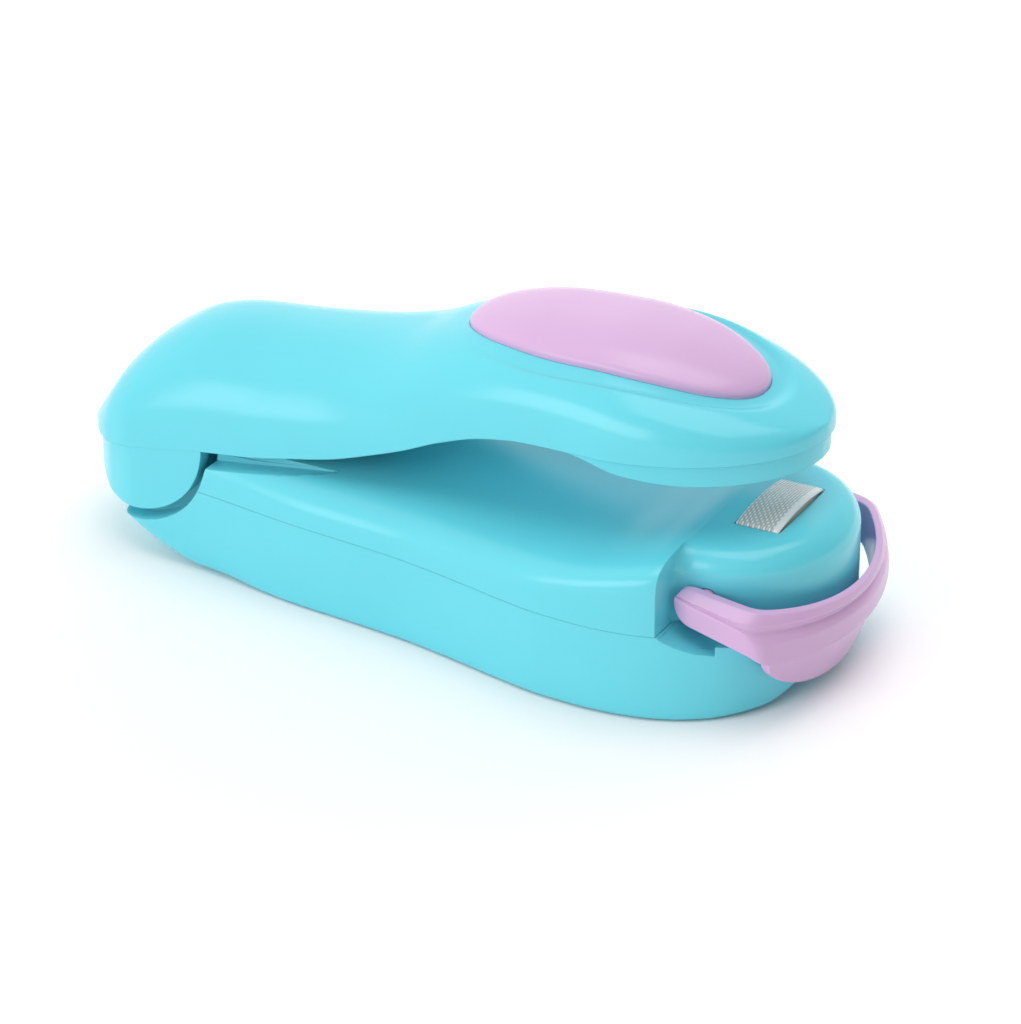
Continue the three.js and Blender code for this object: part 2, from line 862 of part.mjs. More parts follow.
// Arm form measured from the hinge axis, or with walls given the hollow under it, let down by a drop
function armForm(sideWall, crownWall, drop, rear, front, [count, steps]) {
  const rings = stations(rear, front, count).map((x) => {
    const half = armHalf(x, sideWall);
    const foot = armFoot(x) - hingeHeight;
    const rise = Math.max(armCrown(x) - hingeHeight - crownWall(x) - foot, touchGap);
    const power = along(armPowerShares, x / armReach);
    const ring = [new THREE.Vector3(x, half, foot - drop - touchGap)];
    for (let i = 0; i <= steps; i++) {
      const turn = (Math.PI * i) / steps;
      const y = half * signedPower(Math.cos(turn), 2 / power);
      ring.push(new THREE.Vector3(x, y, foot + rise * Math.abs(Math.sin(turn)) ** (2 / power)));
    }
    ring.push(new THREE.Vector3(x, -half, foot - drop - touchGap));
    return ring;
  });
  return solid(loft(rings));
}

function raised(form) {
  return form.translate([0, 0, hingeHeight]);
}

// Depth of the tray about the thumb pad, which fades out towards the hinge
function trayAt(x) {
  const share = THREE.MathUtils.smoothstep(x, padPlace - trayHalfLength, padPlace);
  return trayDepth * share;
}

// Everything below the tray's floor, or below a floor sunk further
function underTray(sunk) {
  const reach = trayHalfLength + overrun;
  const depth = (x) => trayAt(x) + sunk;
  return raised(armForm(0, depth, wide, padPlace - reach, padPlace + reach, trayFloorSteps));
}

// What stands above such a floor inside an oval about the thumb pad
function overTray(sunk, halfLength, halfWidth) {
  return prism(oval(padPlace, halfLength, halfWidth), hingeHeight, wide).subtract(underTray(sunk));
}

// Ears at the arm's rear, which follow its plan inside a round outline and stay under its skin
function armEars() {
  const plan = (inset, rear) => {
    const rings = stations(rear, earRadius + overrun, planSteps).map((x) => {
      const half = armHalf(x - earSetback, inset);
      const levels = [[half, 0], [half, hingeHeight], [-half, hingeHeight], [-half, 0]];
      return levels.map(([y, z]) => new THREE.Vector3(x, y, z));
    });
    return solid(loft(rings));
  };
  const wall = plan(0, armRear + earSetback).subtract(plan(earThickness, armRear));
  const gap = block([armRear - overrun, -earGapHalf, 0], [0, earGapHalf, hingeHeight - earSetback]);
  const disc = crossRod(earRadius, 0, -wide, wide, hingeHeight, 2 * roundSides);
  const underSkin = raised(armForm(0, () => 0, wide, armRear, armReach, armSkinSteps));
  return disc.intersect(wall).intersect(underSkin).subtract(gap);
}

function armShell() {
  const outer = raised(armForm(0, () => 0, 0, armRear, armReach, armSkinSteps));
  const [rear, front] = [armRear + armWall, armReach - armWall];
  const hollow = raised(armForm(armWall, () => armCrownWall, wide, rear, front, armHollowSteps));
  const inner = armHalf(0) - earThickness;
  const studs = bothSides((side) =>
    crossRod(studRadius, 0, side * (inner - studLength), side * (inner + earThickness / 2), hingeHeight),
  );
  const seat = joined(
    uprightRod(returnSpringRadius + returnSpringWire, returnSpringPlace, 0, springCeiling, wide),
    uprightRod(returnPegRadius, returnSpringPlace, 0, springCeiling - returnPegLength, wide),
  );
  let shell = joined(outer.subtract(hollow), armEars(), studs, seat.intersect(outer));
  for (const x of armScrewPlaces) {
    const boss = uprightRod(screwRadius + bossWall, x, 0, linerPillarTop(x) + fitGap, wide);
    shell = shell.add(boss.intersect(outer));
    const boreTop = linerFoot(x) + headSeat + armScrewLength + fitGap;
    shell = shell.subtract(uprightRod(screwClear, x, 0, 0, boreTop));
  }
  const tray = overTray(0, trayHalfLength, trayHalfWidth);
  const padSeat = overTray(padSeatDepth, padHalfLength + slipGap, padHalfWidth + slipGap);
  return without(shell, tray, padSeat);
}

function thumbPad() {
  const steps = 14;
  const rings = stations(padPlace - padHalfLength, padPlace + padHalfLength, planSteps).map((x) => {
    const t = Math.abs(x - padPlace) / padHalfLength;
    const half = Math.max(padHalfWidth * roundedEnd(t, ovalPower), touchGap);
    const rim = armSkin(x, half, trayAt(x)) + padRim;
    const dome = padDome * roundedEnd(t, ovalPower);
    const ring = [new THREE.Vector3(x, half, hingeHeight)];
    for (let i = 0; i <= steps; i++) {
      const turn = (Math.PI * i) / steps;
      ring.push(new THREE.Vector3(x, half * Math.cos(turn), rim + dome * Math.sin(turn)));
    }
    ring.push(new THREE.Vector3(x, -half, hingeHeight));
    return ring;
  });
  return solid(loft(rings)).subtract(underTray(padSeatDepth - slipGap));
}

function linerTop(x) {
  return Math.max(linerFoot(x), armFoot(x)) + linerThickness;
}

function linerPillarTop(x) {
  return linerFoot(x) + headSeat + headWall;
}

// Solid between two height functions over the arm's plan, drawn in by an inset
function armSlab(inset, low, high, rear, front) {
  const rings = stations(rear, front, planSteps).map((x) => {
    const half = armHalf(x, inset);
    const corners = [[half, low(x)], [half, high(x)], [-half, high(x)], [-half, low(x)]];
    return corners.map(([y, z]) => new THREE.Vector3(x, y, z));
  });
  return solid(loft(rings));
}

function armLiner() {
  const inset = armWall + fitGap;
  const front = armReach - 2 * inset;
  const crownWall = () => armCrownWall + fitGap;
  const clear = raised(armForm(inset, crownWall, wide, linerRear - overrun, front, armHollowSteps));
  const tongue = armSlab(inset, linerFoot, linerTop, linerRear, front).intersect(clear);
  const bandTop = (x) => Math.max(armFoot(x) - rimGap, linerFoot(x) + touchGap);
  const band = armSlab(bandInset, linerFoot, bandTop, bandStart, armReach - bandInset);
  const hollow = armSlab(
    inset + linerThickness,
    (x) => linerFoot(x) + linerThickness,
    (x) => linerTop(x) + overrun,
    bandStart,
    armReach - inset - linerThickness,
  );
  const ceiling = linerFoot(pressPadPlace) + pressPadRecess + pressPadThickness;
  const reach = pressPadWidth / 2 + linerThickness;
  const backing = block(
    [pressPadPlace - reach, -pressPadHalfLength - linerThickness, 0],
    [pressPadPlace + reach, pressPadHalfLength + linerThickness, wide],
  );
  let liner = joined(tongue, band).subtract(hollow.subtract(backing));
  for (const x of armScrewPlaces) {
    liner = liner.add(uprightRod(headClear + headWall, x, 0, linerFoot(x) + touchGap, linerPillarTop(x)));
    liner = liner.subtract(uprightRod(headClear, x, 0, 0, linerFoot(x) + headSeat + slipGap));
    liner = liner.subtract(uprightRod(screwClear, x, 0, 0, wide));
  }
  return liner.subtract(pressPadForm(slipGap, 0, ceiling + touchGap));
}

// Bar of the press pad between two levels, rounded off where the arm's tip narrows
function pressPadForm(grow, low, high) {
  const half = pressPadWidth / 2 + grow;
  const bar = block(
    [pressPadPlace - half, -pressPadHalfLength - grow, low],
    [pressPadPlace + half, pressPadHalfLength + grow, high],
  );
  const inset = pressPadInset - grow;
  const [below, above] = [() => low - overrun, () => high + overrun];
  return bar.intersect(armSlab(inset, below, above, bandStart, armReach - inset));
}

function pressPad() {
  const floor = linerFoot(pressPadPlace) + pressPadRecess;
  return pressPadForm(0, floor, floor + pressPadThickness);
}

// Screw that stands on its cross-slotted head
function screw(length) {
  const edge = screwHeadHeight / 3;
  const outline = [
    [0, 0],
    [screwHeadRadius - edge, 0],
    [screwHeadRadius, edge],
    [screwHeadRadius, screwHeadHeight],
    [screwRadius, screwHeadHeight],
    [screwRadius, screwHeadHeight + length - screwRadius],
    [0, screwHeadHeight + length],
  ];
  const profile = outline.map(([r, z]) => new THREE.Vector2(r, z));
  const geometry = new THREE.LatheGeometry(profile, smallRoundSides);
  geometry.rotateX(Math.PI / 2);
  const slots = [[screwHeadRadius / 2, screwSlotWidth / 2], [screwSlotWidth / 2, screwHeadRadius / 2]];
  const cuts = slots.map(([x, y]) => block([-x, -y, -overrun], [x, y, screwHeadHeight / 2]));
  return without(solid(geometry), ...cuts);
}

// Lines along the lock loop in its own frame, from one pivot round the front to the other
const loopLines = loopLineShares.map(([corner, front, half, low, high]) => ({
  corner: corner * loopReach,
  front: front * loopReach,
  half: half * loopInnerHalf,
  armLevel: low * loopHeight,
  frontLevel: high * loopHeight,
}));

// Point of a line across the front, where the turn runs from -1 to 1
function onFront(line, across) {
  const sagitta = line.front - line.corner;
  const radius = (line.half ** 2 + sagitta ** 2) / (2 * sagitta);
  const y = line.half * across;
  return [line.front - radius + Math.sqrt(radius ** 2 - y ** 2), y];
}

const loopArmShares = [-0.97, -0.8, -0.45, 0, 0.6];

function lockLoop() {
  const frontSteps = 16;
  const onArm = (share, side) =>
    loopLines.map((line) => {
      const x = share * loopEndRadius;
      const end = Math.min(share, 0) ** 2;
      const round = Math.sqrt(1 - end);
      const draw = loopEndDraw * (line.half / loopInnerHalf - 1) * end * loopEndRadius;
      const slope = line.armLevel > 0 ? 1 - loopEndSlope * (1 - Math.max(x, 0) / line.corner) : 1;
      return new THREE.Vector3(x, side * (line.half - draw), line.armLevel * round * slope);
    });
  const rings = loopArmShares.map((share) => onArm(share, -1));
  for (let i = 0; i <= frontSteps; i++) {
    const across = Math.sin(Math.PI * (i / frontSteps - 1 / 2));
    const atCorner = i === 0 || i === frontSteps;
    rings.push(
      loopLines.map((line) => {
        const [x, y] = onFront(line, across);
        return new THREE.Vector3(x, y, atCorner ? line.armLevel : line.frontLevel);
      }),
    );
  }
  rings.push(...loopArmShares.map((share) => onArm(share, 1)).reverse());
  const [studIn, studOut] = [loopInnerHalf - loopStudReach, loopInnerHalf + loopStudReach];
  const studs = bothSides((side) => crossRod(loopStudRadius, 0, side * studIn, side * studOut, 0));
  return joined(solid(loft(rings)), studs, loopChin());
}

// Half-moon finger tab under the front of the loop
function loopChin() {
  const steps = 16;
  const levels = 4;
  const edge = loopLines[loopLines.length - 2];
  const root = chinThickness / 2;
  const rings = [];
  for (let i = 0; i <= steps; i++) {
    const turn = Math.PI * (i / steps - 1 / 2);
    const [x, y] = onFront(edge, (chinHalfWidth / edge.half) * Math.sin(turn));
    const depth = chinDepth * Math.cos(turn);
    const front = [];
    for (let level = 0; level <= levels; level++) {
      const share = level / levels;
      const setback = chinSetback * (1 / 2 + share * Math.cos(turn));
      front.push([x - setback, edge.frontLevel + root - share * (root + depth)]);
    }
    const back = front.map(([inner, z]) => [inner - chinThickness, z]).reverse();
    rings.push([...front, ...back].map(([across, z]) => new THREE.Vector3(across, y, z)));
  }
  return solid(loft(rings));
}

const carrierTop = deckHeight - heaterSink;
const flangeTop = deckHeight - deckWall - fitGap;
const flangeLow = flangeTop - carrierFlange;
const wireLift = touchGap;
const tapeLift = wireLift + wireThickness + touchGap;
const contactTop = postTop + touchGap + contactThickness;
const bridgeLow = contactTop + switchGap;

function stripHalf(lift) {
  return heaterHalfLength + lift;
}

// Points along the carrier's arched top, raised by a lift, from one end to the other
function archPoints(lift) {
  const steps = 10;
  return Array.from({ length: steps + 1 }, (_, i) => {
    const across = (2 * i) / steps - 1;
    return [across * stripHalf(lift), carrierTop + lift + heaterCrown * (1 - across ** 2)];
  });
}

// Solid with its outline in y and z, centred on the heater over a width
function crossPlate(outline, width) {
  const shape = new THREE.Shape(outline.map(([y, z]) => new THREE.Vector2(y, z)));
  const geometry = new THREE.ExtrudeGeometry(shape, { depth: width, bevelEnabled: false });
  geometry.translate(0, 0, -width / 2).rotateX(Math.PI / 2).rotateZ(Math.PI / 2);
  return solid(geometry.translate(heaterPlace, 0, 0));
}

// Strip that lies over the arch, with tails down the carrier's ends
function archedStrip(width, lift, thickness, tail) {
  const low = carrierTop - tail;
  const inner = archPoints(lift);
  const outer = archPoints(lift + thickness).reverse();
  return crossPlate(
    [
      [-stripHalf(lift), low],
      ...inner,
      [stripHalf(lift), low],
      [stripHalf(lift + thickness), low],
      ...outer,
      [-stripHalf(lift + thickness), low],
    ],
    width,
  );
}

function heaterCarrier() {
  const arch = crossPlate(
    [[-heaterHalfLength, flangeLow], ...archPoints(0), [heaterHalfLength, flangeLow]],
    heaterWidth,
  );
  const spread = heaterWidth / 2 + carrierSpread;
  const flange = block(
    [heaterPlace - spread, -heaterHalfLength, flangeLow],
    [heaterPlace + spread, heaterHalfLength, flangeTop],
  );
  const plunger = block(
    [heaterPlace - plungerWidth / 2, -switchBaseHalf, bridgeLow + contactThickness + touchGap],
    [heaterPlace + plungerWidth / 2, switchBaseHalf, flangeTop],
  );
  const legs = bothSides((side) => {
    const reach = side * heaterHalfLength;
    const inner = side * (heaterHalfLength - legThickness);
    return block(
      [heaterPlace - legWidth / 2, Math.min(reach, inner), flangeLow - legDrop],
      [heaterPlace + legWidth / 2, Math.max(reach, inner), flangeTop],
    );
  });
  return joined(arch, flange, plunger, legs);
}

// Brass plate that clamps one end of the hot strip against the carrier's leg
function terminal(side) {
  const inner = side * (stripHalf(wireLift) + wireThickness + touchGap);
  const outer = inner + side * terminalThickness;
  const top = carrierTop - wireTail + terminalHeight / 2;
  return block(
    [heaterPlace - terminalWidth / 2, Math.min(inner, outer), top - terminalHeight],
    [heaterPlace + terminalWidth / 2, Math.max(inner, outer), top],
  );
}

function contactBridge() {
  const half = switchLength / 2 - touchGap;
  return block(
    [heaterPlace - half, -switchWidth / 2, bridgeLow],
    [heaterPlace + half, switchWidth / 2, bridgeLow + contactThickness],
  );
}

// Fixed switch contact, in front of or behind the middle of the base
function switchContact(side) {
  const near = side * (switchLength / 2 - contactHalfWidth / 2);
  const far = (side * switchLength) / 2;
  return block(
    [heaterPlace + Math.min(near, far), -switchWidth / 2, postTop + touchGap],
    [heaterPlace + Math.max(near, far), switchWidth / 2, contactTop],
  );
}

const cellLevel = doorThickness + cellLift + cellRadius;

// Cell with its button at the front or, for -1, at the rear
function cell(side) {
  const rear = cellRear + (side > 0 ? leafBow : 0);
  const front = rear + cellLength;
  const y = side * cellSpread;
  const bodyRearEnd = side > 0 ? rear : rear + cellButtonLength;
  const bodyFrontEnd = side > 0 ? front - cellButtonLength : front;
  return joined(
    lengthRod(cellRadius, bodyRearEnd, bodyFrontEnd, y, cellLevel, cellSides),
    lengthRod(cellButtonRadius, rear, front, y, cellLevel, smallRoundSides),
  );
}

// Bowed leaf on a contact plate, towards +x or -x
function leaf(x, side, y) {
  const steps = 6;
  const bow = side * (leafBow - 3 * touchGap);
  const reach = contactHalfHeight - contactThickness;
  const line = Array.from({ length: steps + 1 }, (_, i) => {
    const t = (2 * i) / steps - 1;
    return [bow * (1 - t * t), cellLevel + t * reach];
  });
  const near = line.map(([out, z]) => [x + out, z]);
  const back = near.map(([out, z]) => [out - side * contactThickness, z]).reverse();
  return sidePlate([...near, ...back], y - leafHalfWidth, y + leafHalfWidth);
}

function contactPlate(x, y0, y1) {
  return block(
    [x, y0, cellLevel - contactHalfHeight],
    [x + contactThickness, y1, cellLevel + contactHalfHeight],
  );
}

// Plate that joins the rear ends of both cells
function rearBridge() {
  const x = cellRear - contactThickness - touchGap;
  const half = cellSpread + contactHalfWidth;
  return contactPlate(x, -half, half).add(leaf(x + contactThickness, 1, cellSpread));
}

function frontContact(side) {
  const x = contactFront;
  const y = side * cellSpread;
  const plate = contactPlate(x, y - contactHalfWidth, y + contactHalfWidth);
  return side > 0 ? plate : plate.add(leaf(x, -1, y));
}

// Turquoise moulded plastic of the body and the arm
function turquoise() {
  return new THREE.MeshStandardMaterial({ color: 0x6fd9e8, roughness: 0.25, metalness: 0 });
}

// Lilac moulded plastic of the thumb pad and the loop
function lilac() {
  return new THREE.MeshStandardMaterial({ color: 0xd6b4e0, roughness: 0.3, metalness: 0 });
}

function wovenTape() {
  return new THREE.MeshStandardMaterial({ color: 0xb4b6b6, roughness: 0.8, metalness: 0 });
}

function silicone() {
  return new THREE.MeshStandardMaterial({ color: 0xe8e8e4, roughness: 0.6, metalness: 0 });
}

function heatProofPlastic() {
  return new THREE.MeshStandardMaterial({ color: 0xeae6dc, roughness: 0.5, metalness: 0 });
}

function resistanceAlloy() {
  return new THREE.MeshStandardMaterial({ color: 0x8d8a85, roughness: 0.35, metalness: 1 });
}

function brass() {
  return new THREE.MeshStandardMaterial({ color: 0xc9a55a, roughness: 0.3, metalness: 1 });
}

function springSteel() {
  return new THREE.MeshStandardMaterial({ color: 0xb9bcc0, roughness: 0.3, metalness: 1 });
}

function zincedSteel() {
  return new THREE.MeshStandardMaterial({ color: 0xc6c8cc, roughness: 0.35, metalness: 1 });
}

function cellSleeve() {
  return new THREE.MeshStandardMaterial({ color: 0x3c4048, roughness: 0.4, metalness: 0 });
}

const root = new THREE.Group();

function place(name, shape, material) {
  const mesh = new THREE.Mesh(geometryOf(shape), material);
  mesh.name = name;
  root.add(mesh);
  return mesh;
}

function geometryOf(shape) {
  const mesh = shape.getMesh();
  const geometry = new THREE.BufferGeometry();
  geometry.setAttribute("position", new THREE.BufferAttribute(mesh.vertProperties, 3));
  geometry.setIndex(new THREE.BufferAttribute(mesh.triVerts, 1));
  geometry.computeVertexNormals();
  return geometry;
}

place("lower_shell", lowerShell(), turquoise());
place("upper_shell", upperShell(), turquoise());
place("battery_door", batteryDoor(), turquoise());
place("arm_shell", armShell(), turquoise());
place("arm_liner", armLiner(), turquoise());
place("press_pad", pressPad(), silicone());
place("thumb_pad", thumbPad(), lilac());

const loop = place("lock_loop", lockLoop(), lilac());
loop.rotation.y = THREE.MathUtils.degToRad(loopDroop);
loop.position.set(loopPivotPlace, 0, loopPivotHeight);

place("heater_carrier", heaterCarrier(), heatProofPlastic());
place("heater_wire", archedStrip(wireWidth, wireLift, wireThickness, wireTail), resistanceAlloy());
place("heater_tape", archedStrip(tapeWidth, tapeLift, tapeThickness, tapeTail), wovenTape());
place("contact_bridge", contactBridge(), brass());
for (const [name, side] of [["left", 1], ["right", -1]]) {
  place("heater_terminal_" + name, terminal(side), brass());
  place("battery_cell_" + name, cell(side), cellSleeve());
  place("battery_contact_" + name, frontContact(side), brass());
  const spring = coil(
    "carrier_spring_" + name,
    carrierSpringRadius,
    carrierSpringWire,
    carrierSpringTurns,
    postTop + touchGap,
    flangeLow - touchGap,
  );
  const moved = spring.translate([heaterPlace, side * carrierSpringSpread, 0]);
  place("carrier_spring_" + name, moved, springSteel());
}
place("switch_contact_front", switchContact(1), brass());
place("switch_contact_rear", switchContact(-1), brass());
place("battery_bridge", rearBridge(), brass());

const returnSpring = coil(
  "return_spring",
  returnSpringRadius,
  returnSpringWire,
  returnSpringTurns,
  springSeatHeight + touchGap,
  springCeiling - touchGap,
);
place("return_spring", returnSpring.translate([returnSpringPlace, 0, 0]), springSteel());

for (const [name, x, y] of caseScrewPlaces) {
  const mesh = place("case_screw_" + name, screw(screwLength), zincedSteel());
  mesh.position.set(x, y, screwSink);
}
armScrewPlaces.forEach((x, i) => {
  const mesh = place("arm_screw_" + ["rear", "front"][i], screw(armScrewLength), zincedSteel());
  mesh.position.set(x, 0, linerFoot(x) + screwSink);
});

const bounds = new THREE.Box3().setFromObject(root, true);
root.position.x = -(bounds.min.x + bounds.max.x) / 2;

export default root;
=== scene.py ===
"""Mini bag sealer: the finished outside of a hand-held lever that melts bags shut.

Every form is made in millimetres, with x measured from the lever's hinge, and is then set in the
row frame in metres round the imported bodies.
"""

import json
import math

import bmesh
import bpy
from bpy.props import FloatProperty, FloatVectorProperty, PointerProperty
from mathutils import Matrix, Vector


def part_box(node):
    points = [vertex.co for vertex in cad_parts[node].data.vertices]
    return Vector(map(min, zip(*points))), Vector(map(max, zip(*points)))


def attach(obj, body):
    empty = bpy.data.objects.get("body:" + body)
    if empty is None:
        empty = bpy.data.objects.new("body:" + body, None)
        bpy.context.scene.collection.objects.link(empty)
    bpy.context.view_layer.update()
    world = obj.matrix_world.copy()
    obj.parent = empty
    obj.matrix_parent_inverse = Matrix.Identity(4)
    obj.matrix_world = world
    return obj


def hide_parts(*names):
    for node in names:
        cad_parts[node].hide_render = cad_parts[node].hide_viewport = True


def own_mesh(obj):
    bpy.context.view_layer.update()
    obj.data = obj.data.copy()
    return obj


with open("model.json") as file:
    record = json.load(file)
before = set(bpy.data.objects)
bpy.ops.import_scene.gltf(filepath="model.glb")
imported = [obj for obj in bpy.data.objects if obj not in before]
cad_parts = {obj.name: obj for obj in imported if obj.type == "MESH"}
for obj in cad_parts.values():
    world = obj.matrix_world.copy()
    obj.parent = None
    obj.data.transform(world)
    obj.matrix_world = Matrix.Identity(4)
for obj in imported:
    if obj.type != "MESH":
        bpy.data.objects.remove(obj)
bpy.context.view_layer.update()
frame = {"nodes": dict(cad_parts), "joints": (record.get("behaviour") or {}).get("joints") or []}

bl_info = {
    "name": "Mini Bag Sealer",
    "version": (1, 0, 0),
    "blender": (4, 5, 0),
    "location": "3D View > Sidebar > Bag Sealer",
    "description": "Builds the moulded case, lever, lock loop and heated strip of a mini bag sealer",
    "category": "Add Mesh",
}

JOINTS = {joint["name"]: joint for joint in frame["joints"]}
HINGE = Vector(JOINTS["arm_hinge"]["pos_m"])
LOOP_PIVOT = Vector(JOINTS["loop_pivot"]["pos_m"])
MILLIMETRE = 0.001
MERGE = 1e-4
TOUCH = 0.05
OVERRUN = 2
WIDE = 180

# Sides of the round forms
ROUND = 96
SEAT_ROUND = 64
SMALL_ROUND = 48
PIN_ROUND = 32

# Gaps round what moves, round screws and studs, and at the case's seam
GAP = 0.3
SCREW_GAP = 0.12
SEAM = 0.03

# Outlines, as [share of the reach, share of the size that the name gives]
BODY_HALF_WIDTH = [
    (-0.108, 0.3), (-0.098, 0.42), (-0.07, 0.52), (-0.03, 0.585), (0.03, 0.6), (0.1, 0.612),
    (0.157, 0.64), (0.221, 0.682), (0.281, 0.718), (0.36, 0.75), (0.446, 0.79), (0.502, 0.83),
    (0.564, 0.885), (0.626, 0.943), (0.685, 0.987), (0.74, 1),
]
BELLY_HEIGHT = [
    (-0.108, 1.25), (-0.07, 0.82), (-0.036, 0.56), (0.011, 0.3), (0.065, 0.09), (0.11, 0),
    (0.9, 0), (0.96, 0.04), (0.99, 0.25), (1, 0.6),
]
BELLY_POWER = [(-0.108, 10), (0.15, 14), (0.27, 36), (0.82, 36), (1, 10)]
WAIST_HEIGHT = [
    (-0.108, 1.4), (-0.05, 1.2), (0, 1.05), (0.06, 1), (1, 1),
]
DECK_HEIGHT = [
    (-0.108, 0.85), (-0.06, 1.02), (0, 1.1), (0.06, 0.98), (0.12, 0.875), (0.2, 0.868),
    (0.36, 0.872), (0.5, 0.88), (0.65, 0.9), (0.74, 0.925), (0.8, 0.968), (0.848, 0.9992), (1, 1),
]
SHOULDER_POWER = [
    (-0.108, 3), (0.1, 3.6), (0.3, 3), (0.42, 3.2), (0.65, 4.5), (0.85, 8), (1, 8),
]
LEVER_HALF_WIDTH = [
    (-0.122, 0.207), (-0.115, 0.3), (-0.102, 0.41), (-0.077, 0.6), (-0.047, 0.744),
    (-0.005, 0.822), (0.03, 0.826), (0.11, 0.826), (0.24, 0.838), (0.39, 0.852), (0.526, 0.9),
    (0.62, 0.942), (0.7, 0.978), (0.756, 1),
]
LEVER_FOOT = [
    (-0.122, -0.15), (0.04, -0.06), (0.11, -0.013), (0.19, 0.027), (0.247, 0.072), (0.328, 0.143),
    (0.393, 0.229), (0.44, 0.3), (0.503, 0.413), (0.568, 0.502), (0.632, 0.547), (0.695, 0.561),
    (0.756, 0.57), (0.86, 0.592), (1, 0.619),
]
LEVER_CROWN = [
    (-0.122, -0.14), (-0.115, -0.1), (-0.102, -0.02), (-0.077, 0.12), (-0.047, 0.28), (0, 0.441),
    (0.05, 0.548), (0.1, 0.596), (0.2, 0.637), (0.3, 0.691), (0.39, 0.762), (0.45, 0.852),
    (0.52, 0.935), (0.6, 0.985), (0.695, 1), (0.78, 0.968), (0.87, 0.884), (0.945, 0.785),
    (0.98, 0.732), (1, 0.7),
]
LEVER_POWER = [
    (-0.122, 2.3), (0.3, 2.2), (0.55, 3), (0.8, 3), (1, 3.4),
]
LINER_FOOT = [
    (0.37, 0.3), (0.5, 0.46), (0.6, 0.545), (0.695, 0.545), (0.78, 0.49), (0.86, 0.475), (1, 0.5),
]

# Lines along the lock loop, as shares of its reach at the corner and at the front, of its inner
# half width, and of its height on the arms and at the front
LOOP_LINES = [
    (0.513, 1, 1, 0.435, 0.446), (0.516, 1.07, 1.08, 0.457, 0.435),
    (0.522, 1.1, 1.18, 0.23, 0.24), (0.545, 1.075, 1.165, 0.14, 0.14),
    (0.57, 1.06, 1.155, 0.07, 0.05), (0.6, 1.1, 1.175, 0, -0.05),
    (0.65, 1.135, 1.18, -0.12, -0.16), (0.76, 1.18, 1.18, -0.56, -0.69),
    (0.736, 1.14, 1.14, -0.63, -0.74), (0.592, 1.05, 1, -0.63, -0.74),
]


def length(name, about, millimetres):
    """A length that a user may change, with its default in millimetres"""
    metres = millimetres * MILLIMETRE
    return FloatProperty(
        name=name, description=about, default=metres, min=0, unit="LENGTH", precision=5
    )


def colour(name, about, value):
    """A surface colour that a user may change"""
    return FloatVectorProperty(
        name=name, description=about, subtype="COLOR", size=3, min=0, max=1, default=value
    )


class BodySizes(bpy.types.PropertyGroup):
    """Sizes of the case that stands on the table"""

    reach: length("Reach", "From the hinge to the front of the case", 89)
    half_width: length("Half width", "Half the case's greatest width", 22.195)
    parting: length("Parting", "Height of the seam between the two halves of the case", 10.996)
    deck: length("Deck", "Height of the nose's flat top", 19.896)
    wall: length("Wall", "Thickness of the case's side walls", 1.3)
    deck_wall: length("Deck wall", "Thickness of the deck", 1.2)
    nose_half_width: length(
        "Nose half width", "Half the width of the nose between the loop's arms", 14.85
    )
    nose_reach: length("Nose reach", "From the hinge to the front of the nose", 90.2)
    nose_start: length("Nose start", "From the hinge to the step beside the nose", 75.5)
    nose_fillet: length("Nose rounding", "Radius of the nose's upper edge", 3.2)
    ear_recess: length("Ear recess", "Radius of the clearance round the lever's ears", 11.3)
    barrel: length("Barrel", "Radius of the tongue between the ears", 6)
    pocket: length("Pocket", "Length of the notch beside the nose", 6.1)
    pocket_depth: length("Pocket depth", "Depth of the notch beside the nose", 2.35)


class LeverSizes(bpy.types.PropertyGroup):
    """Sizes of the lever and its thumb rest"""

    reach: length("Reach", "From the hinge to the lever's tip", 87)
    half_width: length("Half width", "Half the lever's greatest width", 15.5)
    rise: length("Rise", "Height of the lever's crown above the hinge", 22.3)
    wall: length("Wall", "Thickness of the lever's sides", 1.8)
    crown_wall: length("Crown wall", "Thickness of the lever's crown", 2.8)
    ear_radius: length("Ear radius", "Radius of the ears at the hinge", 10.1)
    ear_thickness: length("Ear thickness", "Thickness of the ears", 2.2)
    stud: length("Stud", "Radius of the stud that the lever turns on", 2.5)
    pad_place: length("Pad place", "From the hinge to the middle of the thumb rest", 60.2)
    pad_half_length: length("Pad half length", "Half the thumb rest's length", 18.9)
    pad_half_width: length("Pad half width", "Half the thumb rest's width", 9.45)
    pad_dome: length("Pad dome", "Rise of the thumb rest above its rim", 2.6)
    tray_half_length: length("Tray half length", "Half the length of the dish round the rest", 21.9)
    tray_half_width: length("Tray half width", "Half the width of the dish round the rest", 12.4)
    tray_depth: length("Tray depth", "Depth of the dish round the rest", 0.7)
    liner: length("Liner", "Thickness of the plate under the lever", 1.4)


class LoopSizes(bpy.types.PropertyGroup):
    """Sizes of the lock loop that hangs in front of the nose"""

    inner_half: length("Inner half width", "Half the space between the loop's arms", 15.15)
    reach: length("Reach", "From the pivot to the inner edge of the loop's front", 12.5)
    height: length("Height", "Height of the loop's arms", 4.6)
    end_radius: length("End radius", "Radius of the arms' rear ends", 2.8)
    chin_half_width: length("Tab half width", "Half the width of the finger tab", 16)
    chin_depth: length("Tab depth", "Drop of the finger tab below the loop", 6.4)
    chin_thickness: length("Tab thickness", "Thickness of the finger tab", 1.1)
    softness: length("Edge softness", "Radius of the loop's moulded edges", 0.22)


